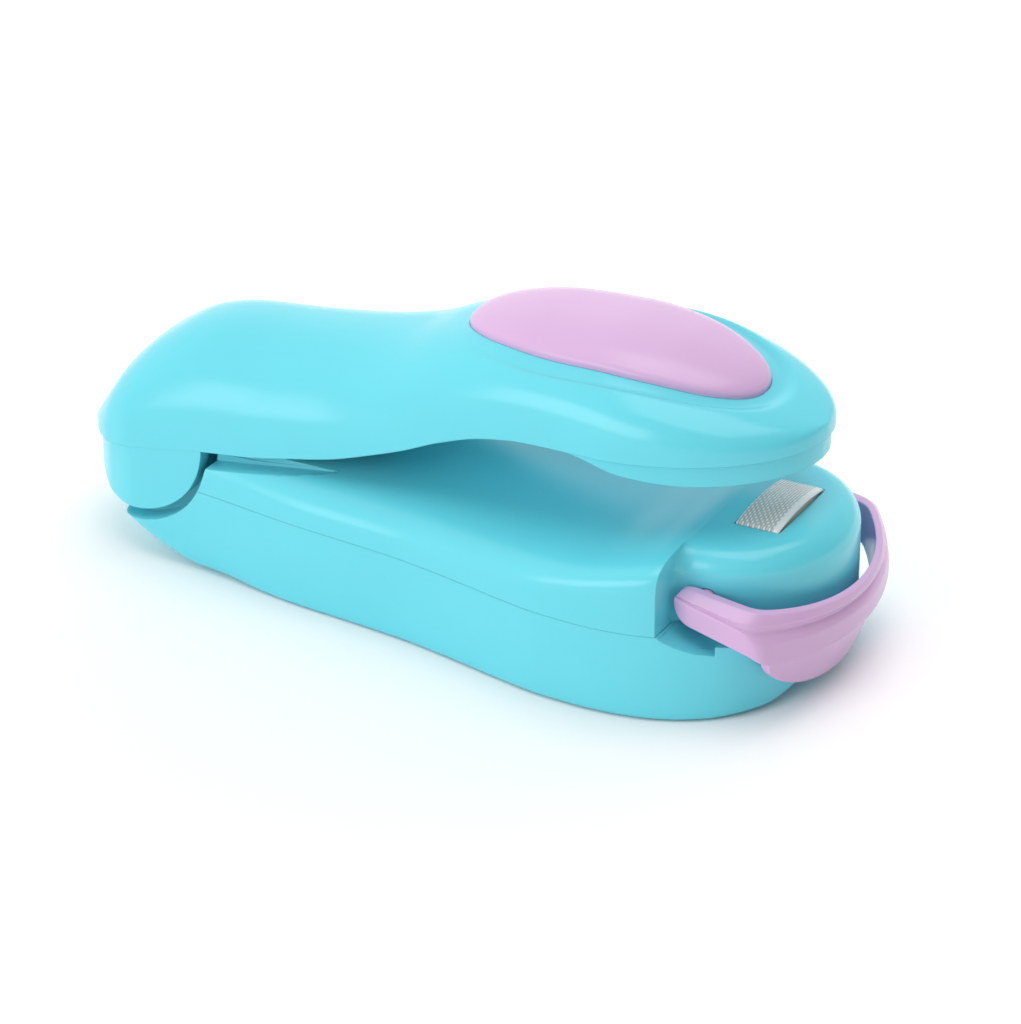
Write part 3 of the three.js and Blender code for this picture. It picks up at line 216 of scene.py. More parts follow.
class Finishes(bpy.types.PropertyGroup):
    """Colours of the visible surfaces"""

    case: colour("Case", "Glossy turquoise plastic of the case and lever", (0.135, 0.66, 0.77))
    accent: colour("Accent", "Glossy lilac plastic of the thumb rest and loop", (0.66, 0.425, 0.68))
    tape: colour("Tape", "Glass-fibre tape over the hot strip", (0.9, 0.85, 0.8))
    floor: colour("Floor", "Pale floor under the sealer", (0.96, 0.96, 0.96))


class SealerSettings(bpy.types.PropertyGroup):
    """Everything about the sealer that a user may change"""

    body: PointerProperty(type=BodySizes, name="Case")
    lever: PointerProperty(type=LeverSizes, name="Lever")
    loop: PointerProperty(type=LoopSizes, name="Lock loop")
    finishes: PointerProperty(type=Finishes, name="Finishes")


class Sizes:
    """A group of sizes read in millimetres"""

    def __init__(self, group):
        self.group = group

    def __getattr__(self, name):
        return round(getattr(self.group, name) / MILLIMETRE, 4)


def settings():
    return bpy.context.scene.bag_sealer


def body_sizes():
    return Sizes(settings().body)


def lever_sizes():
    return Sizes(settings().lever)


def loop_sizes():
    return Sizes(settings().loop)


def hinge_height():
    return HINGE.z / MILLIMETRE


def lever_rear():
    return lever_sizes().reach * LEVER_HALF_WIDTH[0][0]


def case_rear():
    return body_sizes().reach * BODY_HALF_WIDTH[0][0]


def along(pairs, place):
    """Smooth value at a place along a table of pairs, with no overshoot between them"""
    last = len(pairs) - 1
    if place <= pairs[0][0]:
        return pairs[0][1]
    if place >= pairs[last][0]:
        return pairs[last][1]
    index = next(i for i, pair in enumerate(pairs) if pair[0] > place) - 1

    def slope(i):
        return (pairs[i + 1][1] - pairs[i][1]) / (pairs[i + 1][0] - pairs[i][0])

    def tangent(i):
        if i == 0:
            return slope(0)
        if i == last:
            return slope(last - 1)
        before, after = slope(i - 1), slope(i)
        return 0 if before * after <= 0 else 2 * before * after / (before + after)

    width = pairs[index + 1][0] - pairs[index][0]
    t = (place - pairs[index][0]) / width
    near = (1 + 2 * t) * (1 - t) ** 2 * pairs[index][1] + t * (1 - t) ** 2 * width * tangent(index)
    far = t * t * (3 - 2 * t) * pairs[index + 1][1] - t * t * (1 - t) * width * tangent(index + 1)
    return near + far


def rounded_end(t, power):
    """Half width of a rounded end, from 1 where it starts to 0 at its tip"""
    return max(0, 1 - max(0, t) ** power) ** (1 / power)


def signed_power(value, power):
    return math.copysign(abs(value) ** power, value)


def smooth_step(value, low, high):
    t = min(1, max(0, (value - low) / (high - low)))
    return t * t * (3 - 2 * t)


def half_turn(steps):
    """Angles of half a turn in even steps"""
    return [math.pi * i / steps for i in range(steps + 1)]


def stations(rear, front, count):
    """Places along a form, closer together at its two round ends"""
    end_share = 0.55
    places = []
    for i in range(count + 1):
        even = i / count
        eased = (1 - math.cos(math.pi * even)) / 2
        places.append(rear + (front - rear) * ((1 - end_share) * even + end_share * eased))
    return places


def lofted(rings):
    """Closed skin through rings of as many points each, with both ends filled"""
    count, around = len(rings), len(rings[0])
    skin = bmesh.new()
    bmesh.ops.create_grid(skin, x_segments=count - 1, y_segments=around, size=0.5)
    for vertex in skin.verts:
        ring = rings[round((vertex.co.x + 0.5) * (count - 1))]
        vertex.co = ring[round((vertex.co.y + 0.5) * around) % around]
    bmesh.ops.remove_doubles(skin, verts=skin.verts, dist=MERGE)
    open_edges = [edge for edge in skin.edges if edge.is_boundary]
    bmesh.ops.holes_fill(skin, edges=open_edges)
    bmesh.ops.recalc_face_normals(skin, faces=skin.faces)
    return skin


def crosswise(place, half, low, high):
    """Upright rectangle across the width at one place"""
    corners = [(half, low), (half, high), (-half, high), (-half, low)]
    return [Vector((place, y, z)) for y, z in corners]


def block(low, high):
    """Box between two corners"""
    form = bmesh.new()
    bmesh.ops.create_cube(form, size=1)
    low, high = Vector(low), Vector(high)
    bmesh.ops.scale(form, vec=high - low, verts=form.verts)
    bmesh.ops.translate(form, vec=(low + high) / 2, verts=form.verts)
    return form


def rod(radius, start, end, sides=SMALL_ROUND):
    """Round rod between two points on one axis"""
    start, end = Vector(start), Vector(end)
    form = bmesh.new()
    bmesh.ops.create_cone(
        form, cap_ends=True, segments=sides, radius1=radius, radius2=radius,
        depth=(end - start).length,
    )
    turn = (end - start).to_track_quat("Z", "Y").to_matrix()
    bmesh.ops.rotate(form, cent=(0, 0, 0), matrix=turn, verts=form.verts)
    bmesh.ops.translate(form, vec=(start + end) / 2, verts=form.verts)
    return form


def post(radius, x, y, low, high, sides=SMALL_ROUND):
    """Upright round rod"""
    return rod(radius, (x, y, low), (x, y, high), sides)


def axle(radius, x, z, sides=SMALL_ROUND):
    """Round rod that passes through the whole width"""
    return rod(radius, (x, -WIDE, z), (x, WIDE, z), sides)


def plate(outline, thrust):
    """Solid from a flat outline of points pushed along a thrust"""
    form = bmesh.new()
    face = form.faces.new([form.verts.new(point) for point in outline])
    pushed = bmesh.ops.extrude_face_region(form, geom=[face], use_keep_orig=True)["geom"]
    lifted = [item for item in pushed if isinstance(item, bmesh.types.BMVert)]
    bmesh.ops.translate(form, vec=thrust, verts=lifted)
    bmesh.ops.recalc_face_normals(form, faces=form.faces)
    return form


def side_plate(outline, low, high):
    """Plate with its outline in x and z, between two places across the width"""
    return plate([(x, low, z) for x, z in outline], (0, high - low, 0))


def prism(outline, low, high):
    """Upright prism over an outline in x and y"""
    return plate([(x, y, low) for x, y in outline], (0, 0, high - low))


def moved(form, vector):
    bmesh.ops.translate(form, vec=vector, verts=form.verts)
    return form


def turned(form, degrees, centre=(0, 0, 0)):
    """The form turned about a line across the width"""
    matrix = Matrix.Rotation(math.radians(degrees), 3, "Y")
    bmesh.ops.rotate(form, cent=centre, matrix=matrix, verts=form.verts)
    return form


def as_object(form, name):
    mesh = bpy.data.meshes.new(name)
    form.to_mesh(mesh)
    form.free()
    made = bpy.data.objects.new(name, mesh)
    bpy.context.scene.collection.objects.link(made)
    return made


def combined(operation, first, *others):
    """One form joined with, cut by or kept inside the others"""
    base = as_object(first, "combined")
    tools = [as_object(other, "tool") for other in others]
    for tool in tools:
        step = base.modifiers.new("step", "BOOLEAN")
        step.operation = operation
        step.solver = "MANIFOLD"
        step.object = tool
    bpy.context.view_layer.update()
    evaluated = base.evaluated_get(bpy.context.evaluated_depsgraph_get())
    form = bmesh.new()
    form.from_mesh(evaluated.to_mesh())
    for made in [base, *tools]:
        mesh = made.data
        bpy.data.objects.remove(made)
        bpy.data.meshes.remove(mesh)
    return form


def joined(first, *others):
    return combined("UNION", first, *others)


def gathered(*forms):
    """One mesh of several closed forms that stand into each other"""
    whole = bmesh.new()
    for form in forms:
        mesh = bpy.data.meshes.new("gathered")
        form.to_mesh(mesh)
        form.free()
        whole.from_mesh(mesh)
        bpy.data.meshes.remove(mesh)
    return whole


def without(first, *others):
    return combined("DIFFERENCE", first, *others)


def common(first, *others):
    return combined("INTERSECT", first, *others)


def both_sides(make):
    """Both sides of something made for one side, told apart by a sign"""
    return joined(make(1), make(-1))


def behind(place):
    return block((-WIDE, -WIDE, -WIDE), (place, WIDE, WIDE))


def plan_half(place, inset, reach, half, table, power):
    """Half width of a plan that follows a table and ends in a round front, drawn in by a wall"""
    start = table[-1][0] * reach
    if place <= start:
        return half * along(table, place / reach) - inset
    return (half - inset) * rounded_end((place - start) / (reach - inset - start), power)


def body_half(place, inset=0):
    body = body_sizes()
    return max(plan_half(place, inset, body.reach, body.half_width, BODY_HALF_WIDTH, 2.3), TOUCH)


def lever_half(place, inset=0):
    lever = lever_sizes()
    return max(plan_half(place, inset, lever.reach, lever.half_width, LEVER_HALF_WIDTH, 2), TOUCH)


def deck_at(place):
    body = body_sizes()
    return body.deck * along(DECK_HEIGHT, place / body.reach)


def lever_height(table, place):
    lever = lever_sizes()
    return hinge_height() + lever.rise * along(table, place / lever.reach)


def body_form(side_wall, top_wall, rear, front, count, upper, lower):
    """Whole case form, or with walls given the hollow inside it"""
    body = body_sizes()
    rings = []
    for place in stations(rear, front, count):
        share = place / body.reach
        half = body_half(place, side_wall)
        waist = body.parting * along(WAIST_HEIGHT, share)
        belly = min(body.parting * along(BELLY_HEIGHT, share) + side_wall, waist)
        rise = deck_at(place) - top_wall - waist
        power, below = along(SHOULDER_POWER, share), along(BELLY_POWER, share)
        ring = []
        for turn in half_turn(2 * upper):
            height = waist + rise * abs(math.sin(turn)) ** (2 / power)
            ring.append(Vector((place, half * signed_power(math.cos(turn), 2 / power), height)))
        for turn in half_turn(2 * lower)[1:-1]:
            depth = (waist - belly) * math.sin(turn) ** (2 / below)
            across = -half * signed_power(math.cos(turn), 2 / below)
            ring.append(Vector((place, across, waist - depth)))
        rings.append(ring)
    return lofted(rings)


# The nose's flare into the step behind it, and how it joins the deck there
NOSE_FLARE = 2.2
NOSE_OVERLAP = 0.01
NOSE_WEB = 0.8
NOSE_HOLLOW_FILLET = 2

# Fall of the parting plane beside the nose, in degrees
PARTING_FALL = 11


def nose_plan(inset, flare=0):
    """Plan of the nose: straight sides that may flare into the step behind, then half an oval"""
    body = body_sizes()
    steps, flare_steps = 64, 8
    least_edge = 0.2
    centre = body.nose_start + body.wall
    half = body.nose_half_width - inset
    side = [(body.nose_start - OVERRUN, half + flare)]
    for i in range(flare_steps + 1):
        turn = math.pi / 2 * i / flare_steps
        x, y = body.nose_start + flare * (1 - math.cos(turn)), half + flare * (1 - math.sin(turn))
        side.append((x, y))
    arc = []
    reach = body.nose_reach - inset - centre
    for swept in half_turn(steps):
        turn = math.pi / 2 - swept
        arc.append((centre + reach * math.cos(turn), half * math.sin(turn)))
    side = [point for point in side if flare or point[0] < body.nose_start]
    kept = [point for point in arc if point[0] > side[-1][0] + least_edge]
    return side + kept + [(x, -y) for x, y in reversed(side)]


def nose_form(inset, low, top, fillet, flare=0):
    """Nose block with a round upper edge"""
    steps = 12
    levels = [(low, 0)]
    for i in range(steps + 1):
        turn = math.pi * i / (2 * steps)
        levels.append((top - fillet * (1 - math.sin(turn)), fillet * (1 - math.cos(turn))))
    plan = [Vector((x, y, 0)) for x, y in nose_plan(inset, flare)]
    middle = Vector((body_sizes().nose_start - OVERRUN, 0, 0))
    rings = []
    for height, draw in levels:
        ring = []
        for point in plan:
            away = (point - middle).length
            inner = point - (point - middle) * (draw / away)
            ring.append(Vector((max(inner.x, middle.x), inner.y, height)))
        rings.append(ring)
    return lofted(rings)


def below_parting(drop):
    """Space below the parting plane, which falls towards the front beside the nose"""
    body = body_sizes()
    high = body.parting - drop
    front = body.reach + OVERRUN
    fall = (front - body.nose_start) * math.tan(math.radians(PARTING_FALL))
    slope = [(front, high - fall), (body.nose_start, high)]
    return side_plate([(-WIDE, -WIDE), (front, -WIDE), *slope, (-WIDE, high)], -WIDE, WIDE)


# How far the ears' plan lags behind the lever's, how deep they lie in its skin, and their gap
EAR_SHIFT = 0.6
EAR_SUNK = 0.03
EAR_HALF_GAP = 5.5


def ear_plan(inset, rear, front, top):
    """Upright solid over the plan of the ears, drawn in by an inset"""
    count = 60
    rings = []
    for place in stations(rear, front, count):
        rings.append(crosswise(place, lever_half(place - EAR_SHIFT, inset), 0, top))
    return lofted(rings)


def ear_recess():
    """Round clearance for the lever's ears, which keeps the tongue between them"""
    radius = body_sizes().ear_recess
    tongue = ear_plan(lever_sizes().ear_thickness + GAP, lever_rear(), radius + OVERRUN, WIDE)
    return without(axle(radius, 0, hinge_height(), ROUND), tongue)


# The rebates' ends and the heights of their floors there, with the wall left beside and under them
REBATE = {"start": 9.4, "end": 32.2, "low": 14, "high": 17.2}
REBATE_WALL = (0.3, 0.9)
SWEEP_MESH = (60, 40)


def rebates(grow, drop):
    """Rebate in each side of the deck that the lever's side wall closes into"""
    start, end, low, high = REBATE.values()
    inner = lever_half(start, lever_sizes().wall) - GAP - grow
    floor = [(start - OVERRUN, low - drop), (start, low - drop), (end, high - drop)]
    rest = [(end + OVERRUN, high + OVERRUN), (end + OVERRUN, WIDE), (start - OVERRUN, WIDE)]
    outline = floor + rest
    return both_sides(lambda side: side_plate(outline, *sorted((side * inner, side * WIDE))))


def pockets():
    """Notch in the rim on each side of the nose"""
    body = body_sizes()
    shares = [(0.06, 0.1), (0.2, 0.32), (0.35, 0.5), (0.5, 0.67), (0.7, 0.85), (1, 1)]
    run, depth = body.pocket, body.pocket_depth
    low = [(body.nose_start + x * run, body.parting - z * depth) for x, z in shares]
    top = body.parting + OVERRUN
    outline = [(low[0][0], top), *low, (low[-1][0], top)]
    inner = body.nose_half_width - body.wall
    return both_sides(lambda side: side_plate(outline, *sorted((side * inner, side * WIDE))))


# Counts of rings along the lever's forms, and of steps over each
LEVER_MESH = (220, 110)
LEVER_HOLLOW_MESH = (90, 40)
SKIN_MESH = (150, 60)
TRAY_MESH = (60, 48)
CLEAR_MESH = (60, 30)
REST_MESH = (110, 72)


def lever_form(side_wall, crown_wall, drop, rear, front, count, steps, dished=False):
    """Lever form, or with walls given the hollow under it, let down by a drop"""
    lever = lever_sizes()
    rings = []
    for place in stations(rear, front, count):
        half = lever_half(place, side_wall)
        foot = lever_height(LEVER_FOOT, place)
        wall = crown_wall(place) if callable(crown_wall) else crown_wall
        rise = max(lever_height(LEVER_CROWN, place) - wall - foot, TOUCH)
        power = along(LEVER_POWER, place / lever.reach)
        ring = [Vector((place, half, foot - drop - TOUCH))]
        for turn in half_turn(steps):
            across = half * signed_power(math.cos(turn), 2 / power)
            height = foot + rise * abs(math.sin(turn)) ** (2 / power)
            if dished:
                height -= tray_depth_at(place, across)
            ring.append(Vector((place, across, height)))
        ring.append(Vector((place, -half, foot - drop - TOUCH)))
        rings.append(ring)
    return lofted(rings)


def tray_fade(place):
    """Depth of the dish along the lever, which fades out towards the hinge"""
    lever = lever_sizes()
    rear = lever.pad_place - lever.tray_half_length
    return lever.tray_depth * smooth_step(place, rear, lever.pad_place)


OVAL_POWER = 2.2


def tray_depth_at(place, across):
    """Depth of the dish at a point of the lever's plan, with a soft rim"""
    lever = lever_sizes()
    u = abs(place - lever.pad_place) / lever.tray_half_length
    v = abs(across) / lever.tray_half_width
    radius = (u**OVAL_POWER + v**OVAL_POWER) ** (1 / OVAL_POWER)
    return tray_fade(place) * smooth_step(1.01 - radius, 0, 0.1)


def lever_skin(place, across, sunk):
    """Height of the lever's skin at a point of its plan, sunk by a depth"""
    power = along(LEVER_POWER, place / lever_sizes().reach)
    foot = lever_height(LEVER_FOOT, place)
    crown = lever_height(LEVER_CROWN, place) - sunk
    return foot + (crown - foot) * rounded_end(abs(across) / lever_half(place), power)


def oval(grow, count=128):
    """Outline of the thumb rest's seat, grown by a gap"""
    lever = lever_sizes()
    points = []
    for i in range(count):
        turn = 2 * math.pi * i / count
        reach = (lever.pad_half_length + grow) * signed_power(math.cos(turn), 2 / OVAL_POWER)
        side = (lever.pad_half_width + grow) * signed_power(math.sin(turn), 2 / OVAL_POWER)
        points.append((lever.pad_place + reach, side))
    return points


def under_tray(sunk):
    """Everything below the dish's floor, or below a floor sunk further"""
    lever = lever_sizes()
    reach = lever.tray_half_length + OVERRUN
    rear, front = lever.pad_place - reach, lever.pad_place + reach
    return lever_form(0, lambda place: tray_fade(place) + sunk, WIDE, rear, front, *TRAY_MESH)


def lever_slab(inset, low, high, rear, front, count=90):
    """Solid between two height functions over the lever's plan, drawn in by an inset"""
    rings = []
    for place in stations(rear, front, count):
        rings.append(crosswise(place, lever_half(place, inset), low(place), high(place)))
    return lofted(rings)


def rounded(section, radius, steps=4):
    """Closed outline of points with each of its corners rounded"""
    made = []
    count = len(section)
    for i, point in enumerate(section):
        before, after = section[i - 1], section[(i + 1) % count]
        arm_in = min(radius, (before - point).length * 0.45)
        arm_out = min(radius, (after - point).length * 0.45)
        start = point + (before - point).normalized() * arm_in
        end = point + (after - point).normalized() * arm_out
        for step in range(steps + 1):
            t = step / steps
            made.append(start * (1 - t) ** 2 + point * 2 * t * (1 - t) + end * t * t)
    return made


def finished(form, name, finish, body, node, sharp=32):
    """Sets a form in the row frame as a smooth piece that rides on a body and stands for a node"""
    bmesh.ops.remove_doubles(form, verts=form.verts, dist=MERGE)
    bmesh.ops.scale(form, vec=(MILLIMETRE,) * 3, verts=form.verts)
    bmesh.ops.translate(form, vec=(HINGE.x, 0, 0), verts=form.verts)
    piece = as_object(form, name)
    piece.data.shade_smooth()
    piece.data.set_sharp_from_angle(angle=math.radians(sharp))
    weigh = piece.modifiers.new("even shading", "WEIGHTED_NORMAL")
    weigh.keep_sharp = True
    piece.data.materials.append(material(finish))
    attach(piece, body)
    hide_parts(node)
    return piece


class Finish:
    """A material under construction, with its shader and object coordinates"""

    def __init__(self, name, base, roughness, **sockets):
        self.material = bpy.data.materials.new(name)
        self.material.use_nodes = True
        self.nodes = self.material.node_tree.nodes
        self.links = self.material.node_tree.links
        self.shader = self.nodes["Principled BSDF"]
        self.set(self.shader, {"Base Color": (*base, 1), "Roughness": roughness})
        self.set(self.shader, {name.replace("_", " "): value for name, value in sockets.items()})
        self.coordinates = self.nodes.new("ShaderNodeTexCoord").outputs["Object"]

    def set(self, node, values):
        for name, value in values.items():
            node.inputs[name].default_value = value

    def node(self, kind, values=None, **fields):
        made = self.nodes.new("ShaderNode" + kind)
        for name, value in fields.items():
            setattr(made, name, value)
        self.set(made, values or {})
        return made

    def link(self, output, node, name):
        self.links.new(output, node.inputs[name])

    def noise(self, per_metre, detail=2.0, stretch=None):
        """Noise over the piece, with its grain per metre"""
        made = self.node("TexNoise", {"Scale": per_metre, "Detail": detail})
        source = self.coordinates
        if stretch:
            mapping = self.node("Mapping", {"Scale": stretch})
            self.link(source, mapping, "Vector")
            source = mapping.outputs["Vector"]
        self.link(source, made, "Vector")
        return made.outputs["Fac"]

    def ramp(self, source, low, high, from_low=0.3, from_high=0.7):
        limits = {"From Min": from_low, "From Max": from_high, "To Min": low, "To Max": high}
        made = self.node("MapRange", limits)
        self.link(source, made, "Value")
        return made.outputs["Result"]

    def mottle(self, source, first, second):
        """Base colour between two colours by a share"""
        mix = self.node("Mix", data_type="RGBA")
        mix.inputs[6].default_value = (*first, 1)
        mix.inputs[7].default_value = (*second, 1)
        self.link(source, mix, "Factor")
        self.links.new(mix.outputs[2], self.shader.inputs["Base Color"])

    def relief(self, source, depth, strength=1.0, edge=0):
        """Fine relief on the surface, over edges softened by a radius"""
        bump = self.node("Bump", {"Strength": strength, "Distance": depth})
        self.link(source, bump, "Height")
        if edge:
            soft = self.node("Bevel", {"Radius": edge}, samples=6)
            self.link(soft.outputs["Normal"], bump, "Normal")
        self.link(bump.outputs["Normal"], self.shader, "Normal")


def shade(colour_value, factor):
    return tuple(min(1, channel * factor) for channel in colour_value)


def moulded(name, base, roughness, speckle, skin, edge, **sockets):
    """Finish with a faint speckle in its colour and a fine relief on its skin"""
    finish = Finish(name, base, roughness, **sockets)
    per_metre, detail, darkest, palest = speckle
    share = finish.ramp(finish.noise(per_metre, detail), 0, 1)
    finish.mottle(share, shade(base, darkest), shade(base, palest))
    per_metre, detail, depth, strength = skin
    finish.relief(finish.noise(per_metre, detail), depth, strength, edge)
    return finish


def gloss_plastic(name, base, roughness=0.2, edge=0.0002):
    """Glossy moulded plastic with a faint flow of pigment and a fine moulded skin"""
    speckle, skin = (90, 2, 0.99, 1.01), (500, 1, 0.000004, 0.3)
    finish = moulded(name, base, roughness, speckle, skin, edge, IOR=1.49)
    grain = finish.ramp(finish.noise(60), roughness * 0.95, roughness * 1.08)
    finish.link(grain, finish.shader, "Roughness")
    return finish.material


def woven_tape(base):
    """Glass-fibre weave, with painted shade between its threads and a painted highlight on their
    crowns
    """
    finish = Finish("woven_glass_tape", base, 0.45, Sheen_Weight=0.3)
    height = finish.node("Attribute", attribute_name="weave_shade")
    # Colour follows each point's thread height: painted shade in the weave's hollows, painted
    # highlight on the thread crowns
    finish.mottle(height.outputs["Fac"], shade(base, 0.5), shade(base, 1.3))
    fibres = finish.noise(9000, 2, stretch=(1, 0.12, 1))
    finish.relief(fibres, 0.00003, 0.5)
    return finish.material


def rubber(name, base):
    """Matt silicone with a powdery skin"""
    speckle, skin = (260, 3, 0.94, 1), (2200, 3, 0.00003, 0.4)
    glow = {"Subsurface_Weight": 0.1, "Subsurface_Scale": 0.001}
    return moulded(name, base, 0.62, speckle, skin, 0.0002, IOR=1.42, **glow).material


def matt_plastic(name, base):
    """Heat-proof plastic with a fine moulded grain"""
    speckle, skin = (180, 3, 0.93, 1), (2600, 2, 0.00002, 0.5)
    return moulded(name, base, 0.5, speckle, skin, 0.00015, IOR=1.5).material


def metal(name, base, roughness, stretch):
    """Drawn or rolled metal, with its grain stretched along the way it was worked"""
    finish = Finish(name, base, roughness, Metallic=1.0)
    grain = finish.noise(1500, 3, stretch=stretch)
    finish.mottle(finish.ramp(grain, 0, 1), shade(base, 0.8), base)
    finish.link(finish.ramp(grain, roughness * 0.7, roughness * 1.4), finish.shader, "Roughness")
    finish.relief(grain, 0.00001, 0.4, edge=0.0001)
    return finish.material


def cell_sleeve(name, base):
    """Dark film sleeve of a cell"""
    speckle, skin = (320, 3, 0.9, 1.1), (500, 2, 0.00002, 0.3)
    return moulded(name, base, 0.3, speckle, skin, 0.0002, IOR=1.5).material


def floor_finish(base):
    """Smooth pale card"""
    finish = Finish("pale_floor", base, 0.75)
    finish.mottle(finish.ramp(finish.noise(30, 2), 0, 1), shade(base, 0.995), base)
    return finish.material


def material(name):
    """A finish by its name, made once"""
    if name in bpy.data.materials:
        return bpy.data.materials[name]
    colours = settings().finishes
    make = {
        "turquoise_gloss": lambda: gloss_plastic(name, tuple(colours.case)),
        "lilac_gloss": lambda: gloss_plastic(name, tuple(colours.accent), 0.24, edge=0),
        "woven_glass_tape": lambda: woven_tape(tuple(colours.tape)),
        "pale_silicone": lambda: rubber(name, (0.8, 0.8, 0.77)),
        "heat_proof_plastic": lambda: matt_plastic(name, (0.82, 0.78, 0.7)),
        "resistance_alloy": lambda: metal(name, (0.42, 0.4, 0.37), 0.35, (1, 0.05, 1)),
        "rolled_brass": lambda: metal(name, (0.72, 0.5, 0.2), 0.3, (0.1, 1, 1)),
        "drawn_spring_steel": lambda: metal(name, (0.55, 0.56, 0.58), 0.28, (1, 1, 0.2)),
        "zinced_steel": lambda: metal(name, (0.62, 0.63, 0.65), 0.35, (1, 1, 1)),
        "cell_sleeve": lambda: cell_sleeve(name, (0.045, 0.052, 0.065)),
        "pale_floor": lambda: floor_finish(tuple(colours.floor)),
    }
    return make[name]()


# Places of the screws in the case and along the lever, and the sizes of a screw's hole and boss
CASE_SCREWS = [(13.4, 6.6), (13.4, -6.6), (80.2, 10.2), (80.2, -10.2)]
LEVER_SCREWS = (42.978, 68.034)
SCREW = {"clear": 1.22, "head": 2.32, "seat": 1.7, "boss": 2.6, "well_wall": 0.8, "tip": 11}
LOOP_STUD = 1.05

# Counts of rings along the case, and of points round the upper and the lower half of each
BOTTOM_MESH = (150, 24, 24)
TOP_MESH = (170, 36, 14)
HOLLOW_MESH = (90, 14, 12)

# The hot strip's middle, its window's half sizes, and the guides and switch that stand under it
STRIP_PLACE = 81.3
WINDOW = {"half_x": 2.87, "half_y": 6.42, "depth": 2.4}
GUIDE = {"across": 3.5, "radius": 1.85, "pin": 0.8, "pin_low": 5, "pin_rise": 1.5}
SWITCH_BLOCK = {"half_x": 2.9, "half_y": 1.7}

CELL_RIBS = {"places": (22.2, 76.2), "thickness": 1.2}
DOOR = {"rear": 24.6, "front": 75.6, "half_width": 14.7, "gap": 0.15, "depth": 2}

# The return spring's middle, with the sizes of its seats and of the pegs inside it
SPRING = {"place": 18.8, "seat": 3.9, "seat_depth": 0.5, "ceiling_drop": 1.7}
SPRING_PEG = {"radius": 1.7, "length": 2.5}


def case_hollow():
    """Hollow of the case from the rebates to the front wall"""
    body = body_sizes()
    front = body.reach - body.wall
    return body_form(body.wall, body.deck_wall, REBATE["start"], front, *HOLLOW_MESH)


def screw_hole(x, y, low, high):
    return post(SCREW["clear"], x, y, low, high)


def strip_block(sizes, low, high):
    """Upright block under or over the hot strip's middle"""
    half_x, half_y = sizes["half_x"], sizes["half_y"]
    return block((STRIP_PLACE - half_x, -half_y, low), (STRIP_PLACE + half_x, half_y, high))


class SEALER_OT_case_bottom(bpy.types.Operator):
    """Makes the lower half of the case, with its screw wells, ribs and door opening"""

    bl_idname = "sealer.case_bottom"
    bl_label = "Case bottom"

    def execute(self, context):
        body = body_sizes()
        rear = case_rear()
        whole = body_form(0, 0, rear, body.reach, *BOTTOM_MESH)
        limit = common(whole, below_parting(SEAM / 2))
        ledge = body.deck_wall
        nose = nose_form(2 * body.wall + ledge, body.wall, body.deck, NOSE_HOLLOW_FILLET)
        space = joined(behind(body.nose_start), below_parting(ledge), nose)
        shell = without(limit.copy(), common(case_hollow(), space))
        low, high = body.wall / 2, body.parting
        inner = []
        for x, y in CASE_SCREWS:
            inner.append(post(SCREW["head"] + SCREW["well_wall"], x, y, low, high))
        for x in CELL_RIBS["places"]:
            inner.append(block((x, -WIDE, low), (x + CELL_RIBS["thickness"], WIDE, high)))
        guides = [(STRIP_PLACE, side * GUIDE["across"]) for side in (1, -1)]
        for x, y in guides:
            inner.append(post(GUIDE["radius"], x, y, low, high))
        inner.append(strip_block(SWITCH_BLOCK, low, high))
        shell = joined(shell, common(joined(*inner), limit))
        for x, y in guides:
            top = high + GUIDE["pin_rise"]
            shell = joined(shell, post(GUIDE["pin"], x, y, GUIDE["pin_low"], top, PIN_ROUND))
        cuts = []
        for x, y in CASE_SCREWS:
            seat = SCREW["seat"] + SCREW_GAP
            cuts.append(post(SCREW["head"], x, y, -OVERRUN, seat))
            cuts.append(screw_hole(x, y, -OVERRUN, high + OVERRUN))
        cuts += [pockets(), prism(door_plan(DOOR["gap"]), -OVERRUN, DOOR["depth"]), ear_recess()]
        shell = without(shell, *cuts)
        finished(shell, "case_bottom", "turquoise_gloss", "base", "lower_shell")
        return {"FINISHED"}


def door_plan(grow):
    """Outline of the battery door, drawn in where the case is narrow"""
    rear, front = DOOR["rear"] - grow, DOOR["front"] + grow
    steps = 24
    side = []
    for i in range(steps + 1):
        x = rear + (front - rear) * i / steps
        side.append((x, min(DOOR["half_width"], body_half(x, body_sizes().wall)) + grow))
    return side + [(x, -y) for x, y in reversed(side)]


def lever_sweep():
    """Everything that the closing lever sweeps, with a gap about it"""
    lever = lever_sizes()
    rear = lever_rear()
    front = REBATE["end"]
    outer = lever_form(-GAP, -GAP, 0, rear - GAP, front, *SWEEP_MESH)
    side_wall, crown_wall = lever.wall + 2 * GAP, lever.crown_wall + 2 * GAP
    hollow = lever_form(side_wall, crown_wall, WIDE, rear - OVERRUN, front + OVERRUN, *SWEEP_MESH)
    wall = without(outer, hollow)
    centre = (0, 0, hinge_height())
    closing = JOINTS["arm_hinge"]["range_deg"][1]
    return joined(*[turned(wall.copy(), share * closing, centre) for share in (0, 0.5, 1)])


